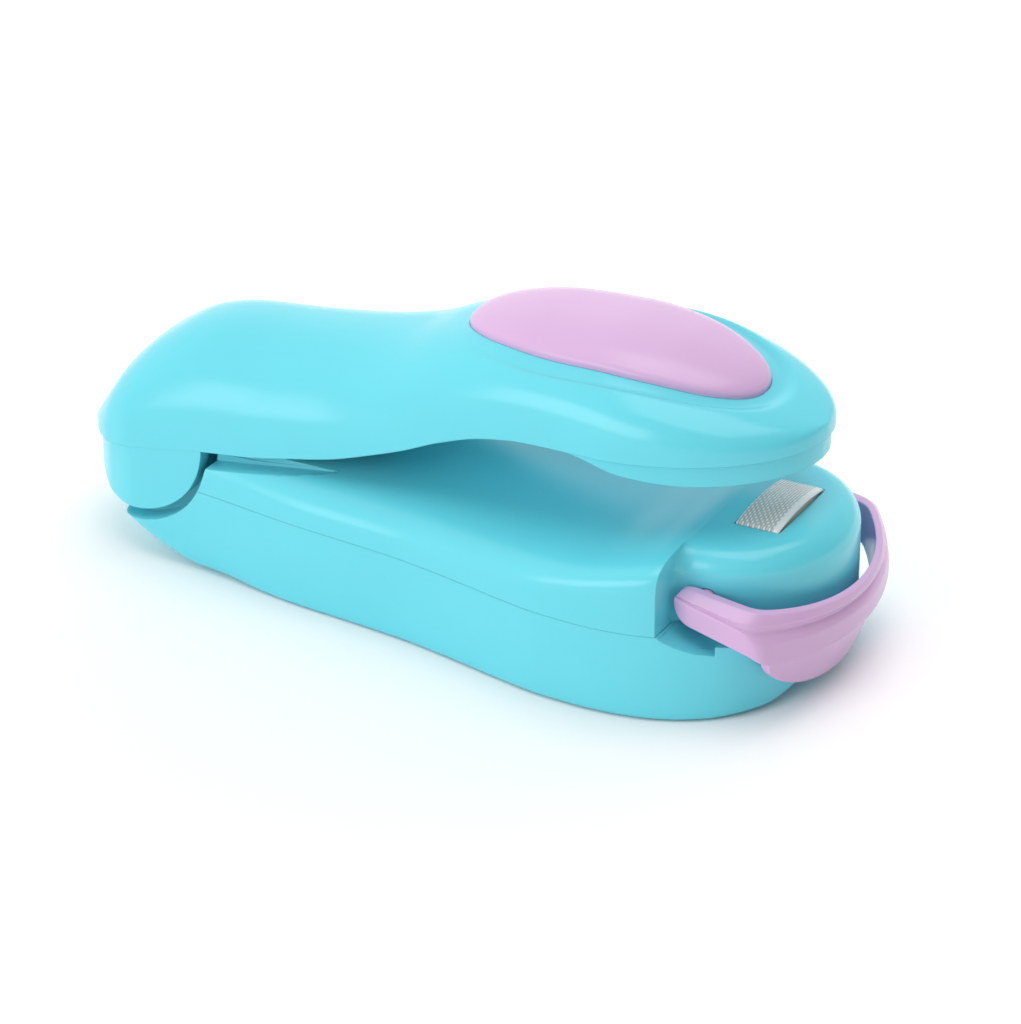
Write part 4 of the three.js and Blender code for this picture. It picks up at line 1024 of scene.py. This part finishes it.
class SEALER_OT_case_top(bpy.types.Operator):
    """Makes the upper half of the case, with its deck, rebates, nose and window"""

    bl_idname = "sealer.case_top"
    bl_label = "Case top"

    def execute(self, context):
        body, lever = body_sizes(), lever_sizes()
        hinge = hinge_height()
        rear = case_rear()
        whole = common(body_form(0, 0, rear, body.reach, *TOP_MESH), behind(body.nose_start))
        nose = nose_form(0, body.wall, body.deck, body.nose_fillet, NOSE_FLARE)
        nose = without(nose, behind(body.nose_start - NOSE_OVERLAP))
        limit = without(joined(whole, nose), below_parting(-SEAM / 2))
        ceiling = body.deck - body.deck_wall
        nose_hollow = nose_form(body.wall, body.wall, ceiling, NOSE_HOLLOW_FILLET)
        space = joined(common(case_hollow(), behind(body.nose_start - NOSE_WEB)), nose_hollow)
        shell = without(limit.copy(), without(space, rebates(*REBATE_WALL)))
        bosses = [post(SCREW["boss"], x, y, 0, WIDE) for x, y in CASE_SCREWS]
        shell = joined(shell, common(joined(*bosses), limit))
        window = strip_block(WINDOW, body.deck - WINDOW["depth"], body.deck + OVERRUN)
        seat_place = SPRING["place"]
        seat_level = deck_at(seat_place) - SPRING["seat_depth"]
        barrel = axle(body.barrel, 0, hinge, ROUND)
        tail = without(block((-WIDE, -WIDE, 0), (0, WIDE, WIDE)), barrel)
        holes = [screw_hole(x, y, 0, SCREW["tip"]) for x, y in CASE_SCREWS]
        pivot = LOOP_PIVOT - HINGE
        loop_x, loop_z = pivot.x / MILLIMETRE, LOOP_PIVOT.z / MILLIMETRE
        cuts = [
            tail,
            ear_recess(),
            lever_sweep(),
            rebates(0, 0),
            window,
            axle(lever.stud + SCREW_GAP, 0, hinge),
            axle(LOOP_STUD + SCREW_GAP, loop_x, loop_z),
            post(SPRING["seat"], seat_place, 0, seat_level, WIDE, SEAT_ROUND),
        ]
        shell = without(shell, *holes, *cuts)
        peg_top = seat_level + SPRING_PEG["length"]
        peg = post(SPRING_PEG["radius"], seat_place, 0, seat_level - TOUCH, peg_top)
        shell = joined(shell, peg)
        finished(shell, "case_top", "turquoise_gloss", "base", "upper_shell")
        return {"FINISHED"}


def lever_ears():
    """Ears at the lever's rear, which follow its plan inside a round outline"""
    lever = lever_sizes()
    hinge, rear, front = hinge_height(), lever_rear(), lever.ear_radius + OVERRUN
    outer = ear_plan(EAR_SUNK, rear + EAR_SHIFT, front, hinge)
    wall = without(outer, ear_plan(lever.ear_thickness, rear, front, hinge))
    gap = block((rear - OVERRUN, -EAR_HALF_GAP, 0), (0, EAR_HALF_GAP, hinge - EAR_SHIFT))
    disc = axle(lever.ear_radius, 0, hinge, ROUND)
    under_skin = lever_form(EAR_SUNK, EAR_SUNK, WIDE, rear, lever.reach, *SKIN_MESH)
    return without(common(disc, wall, under_skin), gap)


# Reach of the hinge studs from the ears, and the lever's screw bosses above the plate's foot
STUD_REACH = 2.4
BOSS_RISE = 2.8
LEVER_HOLE_DEPTH = 8

# The thumb rest: the gap round it, its seat's depth, how deep it reaches and its rim's height
REST_GAP = 0.04
REST_SEAT_DEPTH = 0.9
REST_DEPTH = 0.78
REST_LIFT = 0.3


class SEALER_OT_lever(bpy.types.Operator):
    """Makes the lever with its ears, studs, dish and thumb rest seat"""

    bl_idname = "sealer.lever"
    bl_label = "Lever"

    def execute(self, context):
        lever = lever_sizes()
        hinge = hinge_height()
        rear = lever_rear()
        outer = lever_form(0, 0, 0, rear, lever.reach, *LEVER_MESH, dished=True)
        ends = (rear + lever.wall, lever.reach - lever.wall)
        hollow = lever_form(lever.wall, lever.crown_wall, WIDE, *ends, *LEVER_HOLLOW_MESH)
        inner = lever_half(0) - lever.ear_thickness
        studs = []
        for side in (1, -1):
            near, far = side * (inner - STUD_REACH), side * (inner + lever.ear_thickness / 2)
            studs.append(rod(lever.stud, (0, near, hinge), (0, far, hinge)))
        place = SPRING["place"]
        ceiling = lever_height(LEVER_CROWN, place) - lever.crown_wall - SPRING["ceiling_drop"]
        peg_low = ceiling - SPRING_PEG["length"]
        seat = joined(
            post(SPRING["seat"], place, 0, ceiling, WIDE),
            post(SPRING_PEG["radius"], place, 0, peg_low, WIDE),
        )
        parts = [without(outer.copy(), hollow), lever_ears(), *studs, common(seat, outer.copy())]
        shell = joined(*parts)
        for place in LEVER_SCREWS:
            foot = lever_height(LINER_FOOT, place)
            boss = post(SCREW["boss"], place, 0, foot + BOSS_RISE, WIDE)
            shell = joined(shell, common(boss, outer.copy()))
            shell = without(shell, screw_hole(place, 0, 0, foot + LEVER_HOLE_DEPTH))
        outer.free()
        seat = without(prism(oval(REST_GAP), hinge, WIDE), under_tray(REST_SEAT_DEPTH))
        shell = without(shell, seat)
        finished(shell, "lever", "turquoise_gloss", "arm", "arm_shell", 50)
        return {"FINISHED"}


class SEALER_OT_thumb_rest(bpy.types.Operator):
    """Makes the domed oval thumb rest"""

    bl_idname = "sealer.thumb_rest"
    bl_label = "Thumb rest"

    def execute(self, context):
        lever = lever_sizes()
        count, rim_steps = REST_MESH
        rings = []
        middle, reach = lever.pad_place, lever.pad_half_length
        low = hinge_height()
        for place in stations(middle - reach, middle + reach, count):
            end = rounded_end(abs(place - middle) / reach, OVAL_POWER)
            half = max(lever.pad_half_width * end, TOUCH)
            rim = lever_skin(place, half, tray_fade(place)) + REST_LIFT
            ring = [Vector((place, half, low))]
            for turn in half_turn(rim_steps):
                height = rim + lever.pad_dome * end * math.sin(turn)
                ring.append(Vector((place, half * math.cos(turn), height)))
            ring.append(Vector((place, -half, low)))
            rings.append(ring)
        rest = without(lofted(rings), under_tray(REST_DEPTH))
        finished(rest, "thumb_rest", "lilac_gloss", "arm", "thumb_pad", 45)
        return {"FINISHED"}


# The plate's sizes, and the seat of the press pad in it
LINER = {"rear": 33, "band_rear": 60.5, "band_inset": 0.5, "screw_boss": 3.12, "boss_height": 2.5}
PRESS_PAD = {"place": 80.5, "half_x": 3.2, "half_y": 7.2, "depth": 2.1, "front_wall": 1.48}


class SEALER_OT_lever_liner(bpy.types.Operator):
    """Makes the plate under the lever, with its band round the tip and the press pad's seat"""

    bl_idname = "sealer.lever_liner"
    bl_label = "Lever liner"

    def execute(self, context):
        lever = lever_sizes()
        inset = lever.wall + GAP
        front = lever.reach - 2 * inset
        rear = LINER["rear"]
        clear = lever_form(inset, lever.crown_wall + GAP, WIDE, rear - OVERRUN, front, *CLEAR_MESH)

        def foot(place):
            return lever_height(LINER_FOOT, place)

        def top(place):
            return max(foot(place), lever_height(LEVER_FOOT, place)) + lever.liner

        def band_top(place):
            return max(lever_height(LEVER_FOOT, place) - GAP / 2, foot(place) + TOUCH)

        def pad_block(grow, high):
            half_x, half_y = PRESS_PAD["half_x"] + grow, PRESS_PAD["half_y"] + grow
            return block((pad_place - half_x, -half_y, 0), (pad_place + half_x, half_y, high))

        pad_place = PRESS_PAD["place"]
        band_rear, band_inset = LINER["band_rear"], LINER["band_inset"]
        tongue = common(lever_slab(inset, foot, top, rear, front), clear)
        band = lever_slab(band_inset, foot, band_top, band_rear, lever.reach - band_inset)
        hollow = lever_slab(
            inset + lever.liner,
            lambda place: foot(place) + lever.liner,
            lambda place: top(place) + OVERRUN,
            band_rear,
            lever.reach - inset - lever.liner,
        )
        liner = without(joined(tongue, band), without(hollow, pad_block(lever.liner, WIDE)))
        for place in LEVER_SCREWS:
            level = foot(place)
            boss = post(LINER["screw_boss"], place, 0, level + TOUCH, level + LINER["boss_height"])
            well = post(SCREW["head"], place, 0, 0, level + SCREW["seat"] + SCREW_GAP)
            liner = without(joined(liner, boss), well, screw_hole(place, 0, 0, WIDE))
        ceiling = foot(pad_place) + PRESS_PAD["depth"] + TOUCH
        wall = PRESS_PAD["front_wall"]
        inside = lever_slab(
            wall, lambda _: -OVERRUN, lambda _: ceiling + OVERRUN, band_rear, lever.reach - wall
        )
        liner = without(liner, common(pad_block(SCREW_GAP, ceiling), inside))
        finished(liner, "lever_liner", "turquoise_gloss", "arm", "arm_liner")
        return {"FINISHED"}


# How the loop's arms end, the angle that it hangs at, and the bend from its arms into its front
LOOP_END_DRAW = 0.9
LOOP_END_SLOPE = 0.38
LOOP_DROOP = 14.5
LOOP_BEND = 1.5
LOOP_ARM_SHARES = (-0.985, -0.94, -0.86, -0.74, -0.58, -0.4, -0.2, 0, 0.3, 0.6, 1, 1.4)
LOOP_STUD_REACH = (-1.9, 0.1)
FRONT_STEPS = 80
BEND_STEPS = 8

# The finger tab's step back from the band, and the radius of its edges
TAB_SETBACK = 0.6
TAB_SOFTNESS = 0.3


def front_arc(corner, front, half):
    """Radius of the arc through a front line's middle and its two corners"""
    sagitta = front - corner
    return (half**2 + sagitta**2) / (2 * sagitta)


def loop_line(shares):
    """Points of one line round the loop, from one arm's rear end round the front to the other's"""
    loop = loop_sizes()
    corner_share, front_share, half_share, low_share, high_share = shares
    corner, front = corner_share * loop.reach, front_share * loop.reach
    half = half_share * loop.inner_half
    low, high = low_share * loop.height, high_share * loop.height

    def level(x):
        return low * (1 - LOOP_END_SLOPE * (1 - max(x, 0) / corner)) if low > 0 else low

    side = []
    for share in LOOP_ARM_SHARES:
        end = min(share, 0) ** 2
        x = share * loop.end_radius
        draw = LOOP_END_DRAW * (half / loop.inner_half - 1) * end * loop.end_radius
        side.append(Vector((x, half - draw, level(x) * math.sqrt(1 - end))))
    radius = front_arc(corner, front, half)
    arc = []
    for turn in half_turn(FRONT_STEPS):
        y = half * math.cos(turn)
        arc.append(Vector((front - radius + math.sqrt(radius**2 - y**2), y, high)))
    start = Vector((corner - LOOP_BEND, half, level(corner - LOOP_BEND)))
    turning = Vector((corner, half, (low + high) / 2))
    begun = BEND_STEPS + 1
    bend = []
    for step in range(BEND_STEPS + 1):
        t = step / BEND_STEPS
        bend.append(start * (1 - t) ** 2 + turning * 2 * t * (1 - t) + arc[begun] * t * t)
    near = side + bend
    kept = arc[begun + 1 : FRONT_STEPS - begun]
    return near + kept + [Vector((p.x, -p.y, p.z)) for p in reversed(near)]


class SEALER_OT_lock_loop(bpy.types.Operator):
    """Makes the lilac lock loop with its rim, groove and finger tab"""

    bl_idname = "sealer.lock_loop"
    bl_label = "Lock loop"

    def execute(self, context):
        loop = loop_sizes()
        lines = [loop_line(shares) for shares in LOOP_LINES]
        sections = [[line[i] for line in lines] for i in range(len(lines[0]))]
        band = lofted([rounded(section, loop.softness) for section in sections])
        studs = []
        for side in (1, -1):
            near, far = [side * (loop.inner_half + reach) for reach in LOOP_STUD_REACH]
            studs.append(rod(LOOP_STUD, (0, near, 0), (0, far, 0)))
        whole = gathered(band, *studs, self.finger_tab(loop))
        turned(whole, LOOP_DROOP)
        pivot = (LOOP_PIVOT - HINGE) / MILLIMETRE
        moved(whole, (pivot.x, 0, LOOP_PIVOT.z / MILLIMETRE))
        finished(whole, "lock_band", "lilac_gloss", "loop", "lock_loop", 40)
        return {"FINISHED"}

    def finger_tab(self, loop):
        """Half-moon tab under the front of the loop"""
        corner, front, half, _, level = LOOP_LINES[-3]
        corner, front, half = corner * loop.reach, front * loop.reach, half * loop.inner_half
        radius = front_arc(corner, front, half)
        steps, levels = 64, 8
        rings = []
        for i in range(steps + 1):
            turn = math.pi * (i / steps - 0.5)
            y = loop.chin_half_width * math.sin(turn)
            x = front - radius + math.sqrt(radius**2 - y**2)
            depth = max(loop.chin_depth * math.cos(turn), TOUCH)
            root = loop.chin_thickness / 2
            face = []
            for step in range(levels + 1):
                share = step / levels
                setback = TAB_SETBACK * (1 + share * math.cos(turn))
                z = level * loop.height + root - share * (root + depth)
                face.append(Vector((x - setback, y, z)))
            back = [point - Vector((loop.chin_thickness, 0, 0)) for point in reversed(face)]
            rings.append(rounded(face + back, TAB_SOFTNESS, 3))
        return lofted(rings)


class SEALER_OT_hot_strip(bpy.types.Operator):
    """Makes the woven tape that lies over the hot strip"""

    bl_idname = "sealer.hot_strip"
    bl_label = "Woven tape"

    def execute(self, context):
        low = body_sizes().deck
        half_width, half_length, tail, thickness = 2.75, 6, 2.2, 0.3
        crown, flare, thread, selvage = 0.55, 0.18, 0.14, 0.12
        lanes, picks = 16, 34
        bulge, level, dip, valley, flat = 0.6, 0.66, 0.34, 0.35, 0.75
        across, lengthwise = lanes * 8, picks * 8
        run = 2 * (half_length + tail)

        def lay(v):
            """Point along the tape's underside and its outward direction"""
            s = (v - 0.5) * run
            if abs(s) <= half_length:
                share = s / half_length
                return (s, low + crown * (1 - share**2)), (flare * share, 1)
            side = math.copysign(1, s)
            return (side * half_length, low - (abs(s) - half_length)), (side, 0)

        rings, heights = [], []
        for j in range(lengthwise + 1):
            v = j / lengthwise
            (y, z), (out_y, out_z) = lay(v)
            top, shares = [], []
            for i in range(across + 1):
                u = i / across
                lane, pick = u * lanes, v * picks
                warp = abs(math.sin(math.pi * lane)) ** bulge
                weft = abs(math.sin(math.pi * pick)) ** bulge
                over = math.cos(math.pi * (math.floor(lane) + math.floor(pick)))
                bead = 1 - 0.8 * smooth_step(v, 0.35, 0.7)
                height = warp * (1 - bead * (1 - max(weft * (level + dip * over), valley)))
                height += (flat - height) * smooth_step(u, 0.84, 0.88)
                lift = thickness - thread * (1 - height)
                lift -= selvage * smooth_step(abs(2 * u - 1), 0.92, 1)
                place = STRIP_PLACE + (u - 0.5) * 2 * half_width
                top.append(Vector((place, y + out_y * lift, z + out_z * lift)))
                shares.append(height)
            rings.append(top + [Vector((x, y, z)) for x in (top[-1].x, top[0].x)])
            heights.append(shares + [0.3, 0.3])
        tape = lofted(rings)
        # The thread heights go into the tape's colour, as painted shade in the weave's hollows and a
        # painted highlight on its crowns
        weave_shade = tape.verts.layers.float.new("weave_shade")
        nearest = {}
        for ring, shares in zip(rings, heights):
            for point, share in zip(ring, shares):
                nearest[tuple(round(c, 3) for c in point)] = share
        for vertex in tape.verts:
            vertex[weave_shade] = nearest.get(tuple(round(c, 3) for c in vertex.co), 0.3)
        weave_finish = "woven_glass_tape"
        finished(tape, "woven_strip", weave_finish, "heater", "heater_tape", 60)
        return {"FINISHED"}


def coil(name, radius, wire, turns, centre, low, high, node):
    """Spring wound round an upright axis"""
    form = bmesh.new()
    bmesh.ops.create_circle(form, cap_ends=True, segments=12, radius=wire / 2)
    turn = Matrix.Rotation(math.pi / 2, 3, "X")
    bmesh.ops.rotate(form, cent=(0, 0, 0), matrix=turn, verts=form.verts)
    bmesh.ops.translate(form, vec=(radius, 0, 0), verts=form.verts)
    steps = turns * 32
    pitch = (high - low - wire) / steps
    bmesh.ops.spin(
        form, geom=form.faces[:], cent=(0, 0, 0), axis=(0, 0, 1), dvec=(0, 0, pitch),
        angle=2 * math.pi * turns, steps=steps,
    )
    bmesh.ops.recalc_face_normals(form, faces=form.faces)
    moved(form, (centre[0], centre[1], low + wire / 2))
    spring = finished(form, name, "drawn_spring_steel", "base", node, 50)
    spring.modifiers.clear()
    anchor = (centre[0] * MILLIMETRE + HINGE.x, centre[1] * MILLIMETRE, low * MILLIMETRE)
    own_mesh(spring)


class SEALER_OT_springs(bpy.types.Operator):
    """Winds the lever's return spring and the two springs under the hot strip"""

    bl_idname = "sealer.springs"
    bl_label = "Springs"

    def execute(self, context):
        for node, turns, radius, wire, joint, keep in [
            ("return_spring", 6, 3.2, 0.7, "arm_hinge", 0.77),
            ("carrier_spring_left", 5, 1.4, 0.45, "heater_press", 0.6),
            ("carrier_spring_right", 5, 1.4, 0.45, "heater_press", 0.6),
        ]:
            low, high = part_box(node)
            middle = ((low + high) / 2 - Vector((HINGE.x, 0, 0))) / MILLIMETRE
            centre = (round(middle.x, 1), round(middle.y, 1))
            coil(
                node.replace("spring", "coil"), radius, wire, turns, centre, low.z / MILLIMETRE,
                high.z / MILLIMETRE, node,
            )
        return {"FINISHED"}


NODE_FINISHES = {
    "battery_door": "turquoise_gloss",
    "press_pad": "pale_silicone",
    "heater_carrier": "heat_proof_plastic",
    "heater_wire": "resistance_alloy",
    "battery_cell_": "cell_sleeve",
    "case_screw_": "zinced_steel",
    "arm_screw_": "zinced_steel",
    "contact_bridge": "rolled_brass",
    "heater_terminal_": "rolled_brass",
    "battery_contact_": "rolled_brass",
    "battery_bridge": "rolled_brass",
    "switch_contact_": "rolled_brass",
}


class SEALER_OT_inner_parts(bpy.types.Operator):
    """Gives the fixed inner pieces and the door their finishes"""

    bl_idname = "sealer.inner_parts"
    bl_label = "Inner parts"

    def execute(self, context):
        for name, node in frame["nodes"].items():
            found = [NODE_FINISHES[start] for start in NODE_FINISHES if name.startswith(start)]
            if found and not node.hide_render:
                node.data.materials.clear()
                node.data.materials.append(material(found[0]))
        return {"FINISHED"}


def softbox(name, place, aim, size, energy):
    """Rectangular studio light that faces a point"""
    data = bpy.data.lights.new(name, "AREA")
    data.shape = "RECTANGLE"
    data.size, data.size_y = size
    data.energy = energy
    light = bpy.data.objects.new(name, data)
    bpy.context.scene.collection.objects.link(light)
    light.location = place
    light.rotation_euler = (Vector(aim) - Vector(place)).to_track_quat("-Z", "Y").to_euler()
    return light


# The camera: degrees round and up, metres from its aim, sensor in mm, and the scale in its picture
CAMERA = {"azimuth": 28, "elevation": 27, "distance": 0.55, "sensor": 36, "pixels_per_mm": 8.3}
CAMERA_AIM = (0.004813, 0, 0.01067)
PICTURE_WIDTH = 1024


class SEALER_OT_stage(bpy.types.Operator):
    """Sets the pale floor, the soft lights and the camera"""

    bl_idname = "sealer.stage"
    bl_label = "Stage"

    def execute(self, context):
        scene = context.scene
        floor = bmesh.new()
        bmesh.ops.create_grid(floor, x_segments=8, y_segments=8, size=3)
        ground = as_object(floor, "floor")
        ground.data.materials.append(material("pale_floor"))
        world = bpy.data.worlds.new("studio")
        scene.world = world
        world.use_nodes = True
        self.light_tent(world.node_tree)
        softbox("overhead", (0.12, 0.02, 0.9), (0.01, 0, 0), (0.9, 0.7), 3.6)
        softbox("front_fill", (-0.35, -0.92, 0.36), (0, 0, 0.01), (0.8, 0.5), 3.2)
        rear = softbox("rear_fill", (0.05, 0.9, 0.3), (0.01, 0, 0.015), (1.6, 0.5), 5.8)
        rear.visible_glossy = False
        scene.view_settings.view_transform = "Standard"
        azimuth, elevation = math.radians(CAMERA["azimuth"]), math.radians(CAMERA["elevation"])
        level = math.cos(elevation)
        back = Vector((math.sin(azimuth) * level, -math.cos(azimuth) * level, math.sin(elevation)))
        distance, sensor = CAMERA["distance"], CAMERA["sensor"]
        lens = bpy.data.cameras.new("viewpoint")
        lens.sensor_width = sensor
        lens.lens = CAMERA["pixels_per_mm"] * distance / MILLIMETRE * sensor / PICTURE_WIDTH
        lens.clip_start, lens.clip_end = 0.01, 20
        viewpoint = bpy.data.objects.new("viewpoint", lens)
        scene.collection.objects.link(viewpoint)
        viewpoint.location = Vector(CAMERA_AIM) + back * distance
        viewpoint.rotation_euler = (-back).to_track_quat("-Z", "Y").to_euler()
        scene.camera = viewpoint
        return {"FINISHED"}

    def light_tent(self, tree):
        """White surroundings that fall off towards the sealer's nose"""
        direction = tree.nodes.new("ShaderNodeTexCoord")
        split = tree.nodes.new("ShaderNodeSeparateXYZ")
        tree.links.new(direction.outputs["Generated"], split.inputs[0])
        strength = tree.nodes.new("ShaderNodeMapRange")
        limits = {"From Min": -0.6, "From Max": 0.9, "To Min": 0.92, "To Max": 0.19}
        for socket, value in limits.items():
            strength.inputs[socket].default_value = value
        tree.links.new(split.outputs["X"], strength.inputs["Value"])
        sky = tree.nodes["Background"]
        sky.inputs["Color"].default_value = (1, 1, 1, 1)
        tree.links.new(strength.outputs["Result"], sky.inputs["Strength"])


OPERATORS = (
    SEALER_OT_case_bottom,
    SEALER_OT_case_top,
    SEALER_OT_lever,
    SEALER_OT_thumb_rest,
    SEALER_OT_lever_liner,
    SEALER_OT_lock_loop,
    SEALER_OT_hot_strip,
    SEALER_OT_springs,
    SEALER_OT_inner_parts,
    SEALER_OT_stage,
)


class SEALER_PT_panel(bpy.types.Panel):
    """Lists the sizes, the colours and the pieces"""

    bl_idname = "SEALER_PT_panel"
    bl_label = "Bag Sealer"
    bl_space_type = "VIEW_3D"
    bl_region_type = "UI"
    bl_category = "Bag Sealer"

    def draw(self, context):
        for name in ("body", "lever", "loop", "finishes"):
            group = getattr(settings(), name)
            box = self.layout.box()
            box.label(text=name.capitalize())
            for size in group.__annotations__:
                box.prop(group, size)
        for operator in OPERATORS:
            self.layout.operator(operator.bl_idname)


CLASSES = (BodySizes, LeverSizes, LoopSizes, Finishes, SealerSettings, *OPERATORS, SEALER_PT_panel)


def register():
    for item in CLASSES:
        bpy.utils.register_class(item)
    bpy.types.Scene.bag_sealer = PointerProperty(type=SealerSettings)


def unregister():
    del bpy.types.Scene.bag_sealer
    for item in reversed(CLASSES):
        bpy.utils.unregister_class(item)


def main():
    register()
    for operator in OPERATORS:
        group, name = operator.bl_idname.split(".")
        getattr(getattr(bpy.ops, group), name)()


if __name__ == "__main__":
    main()
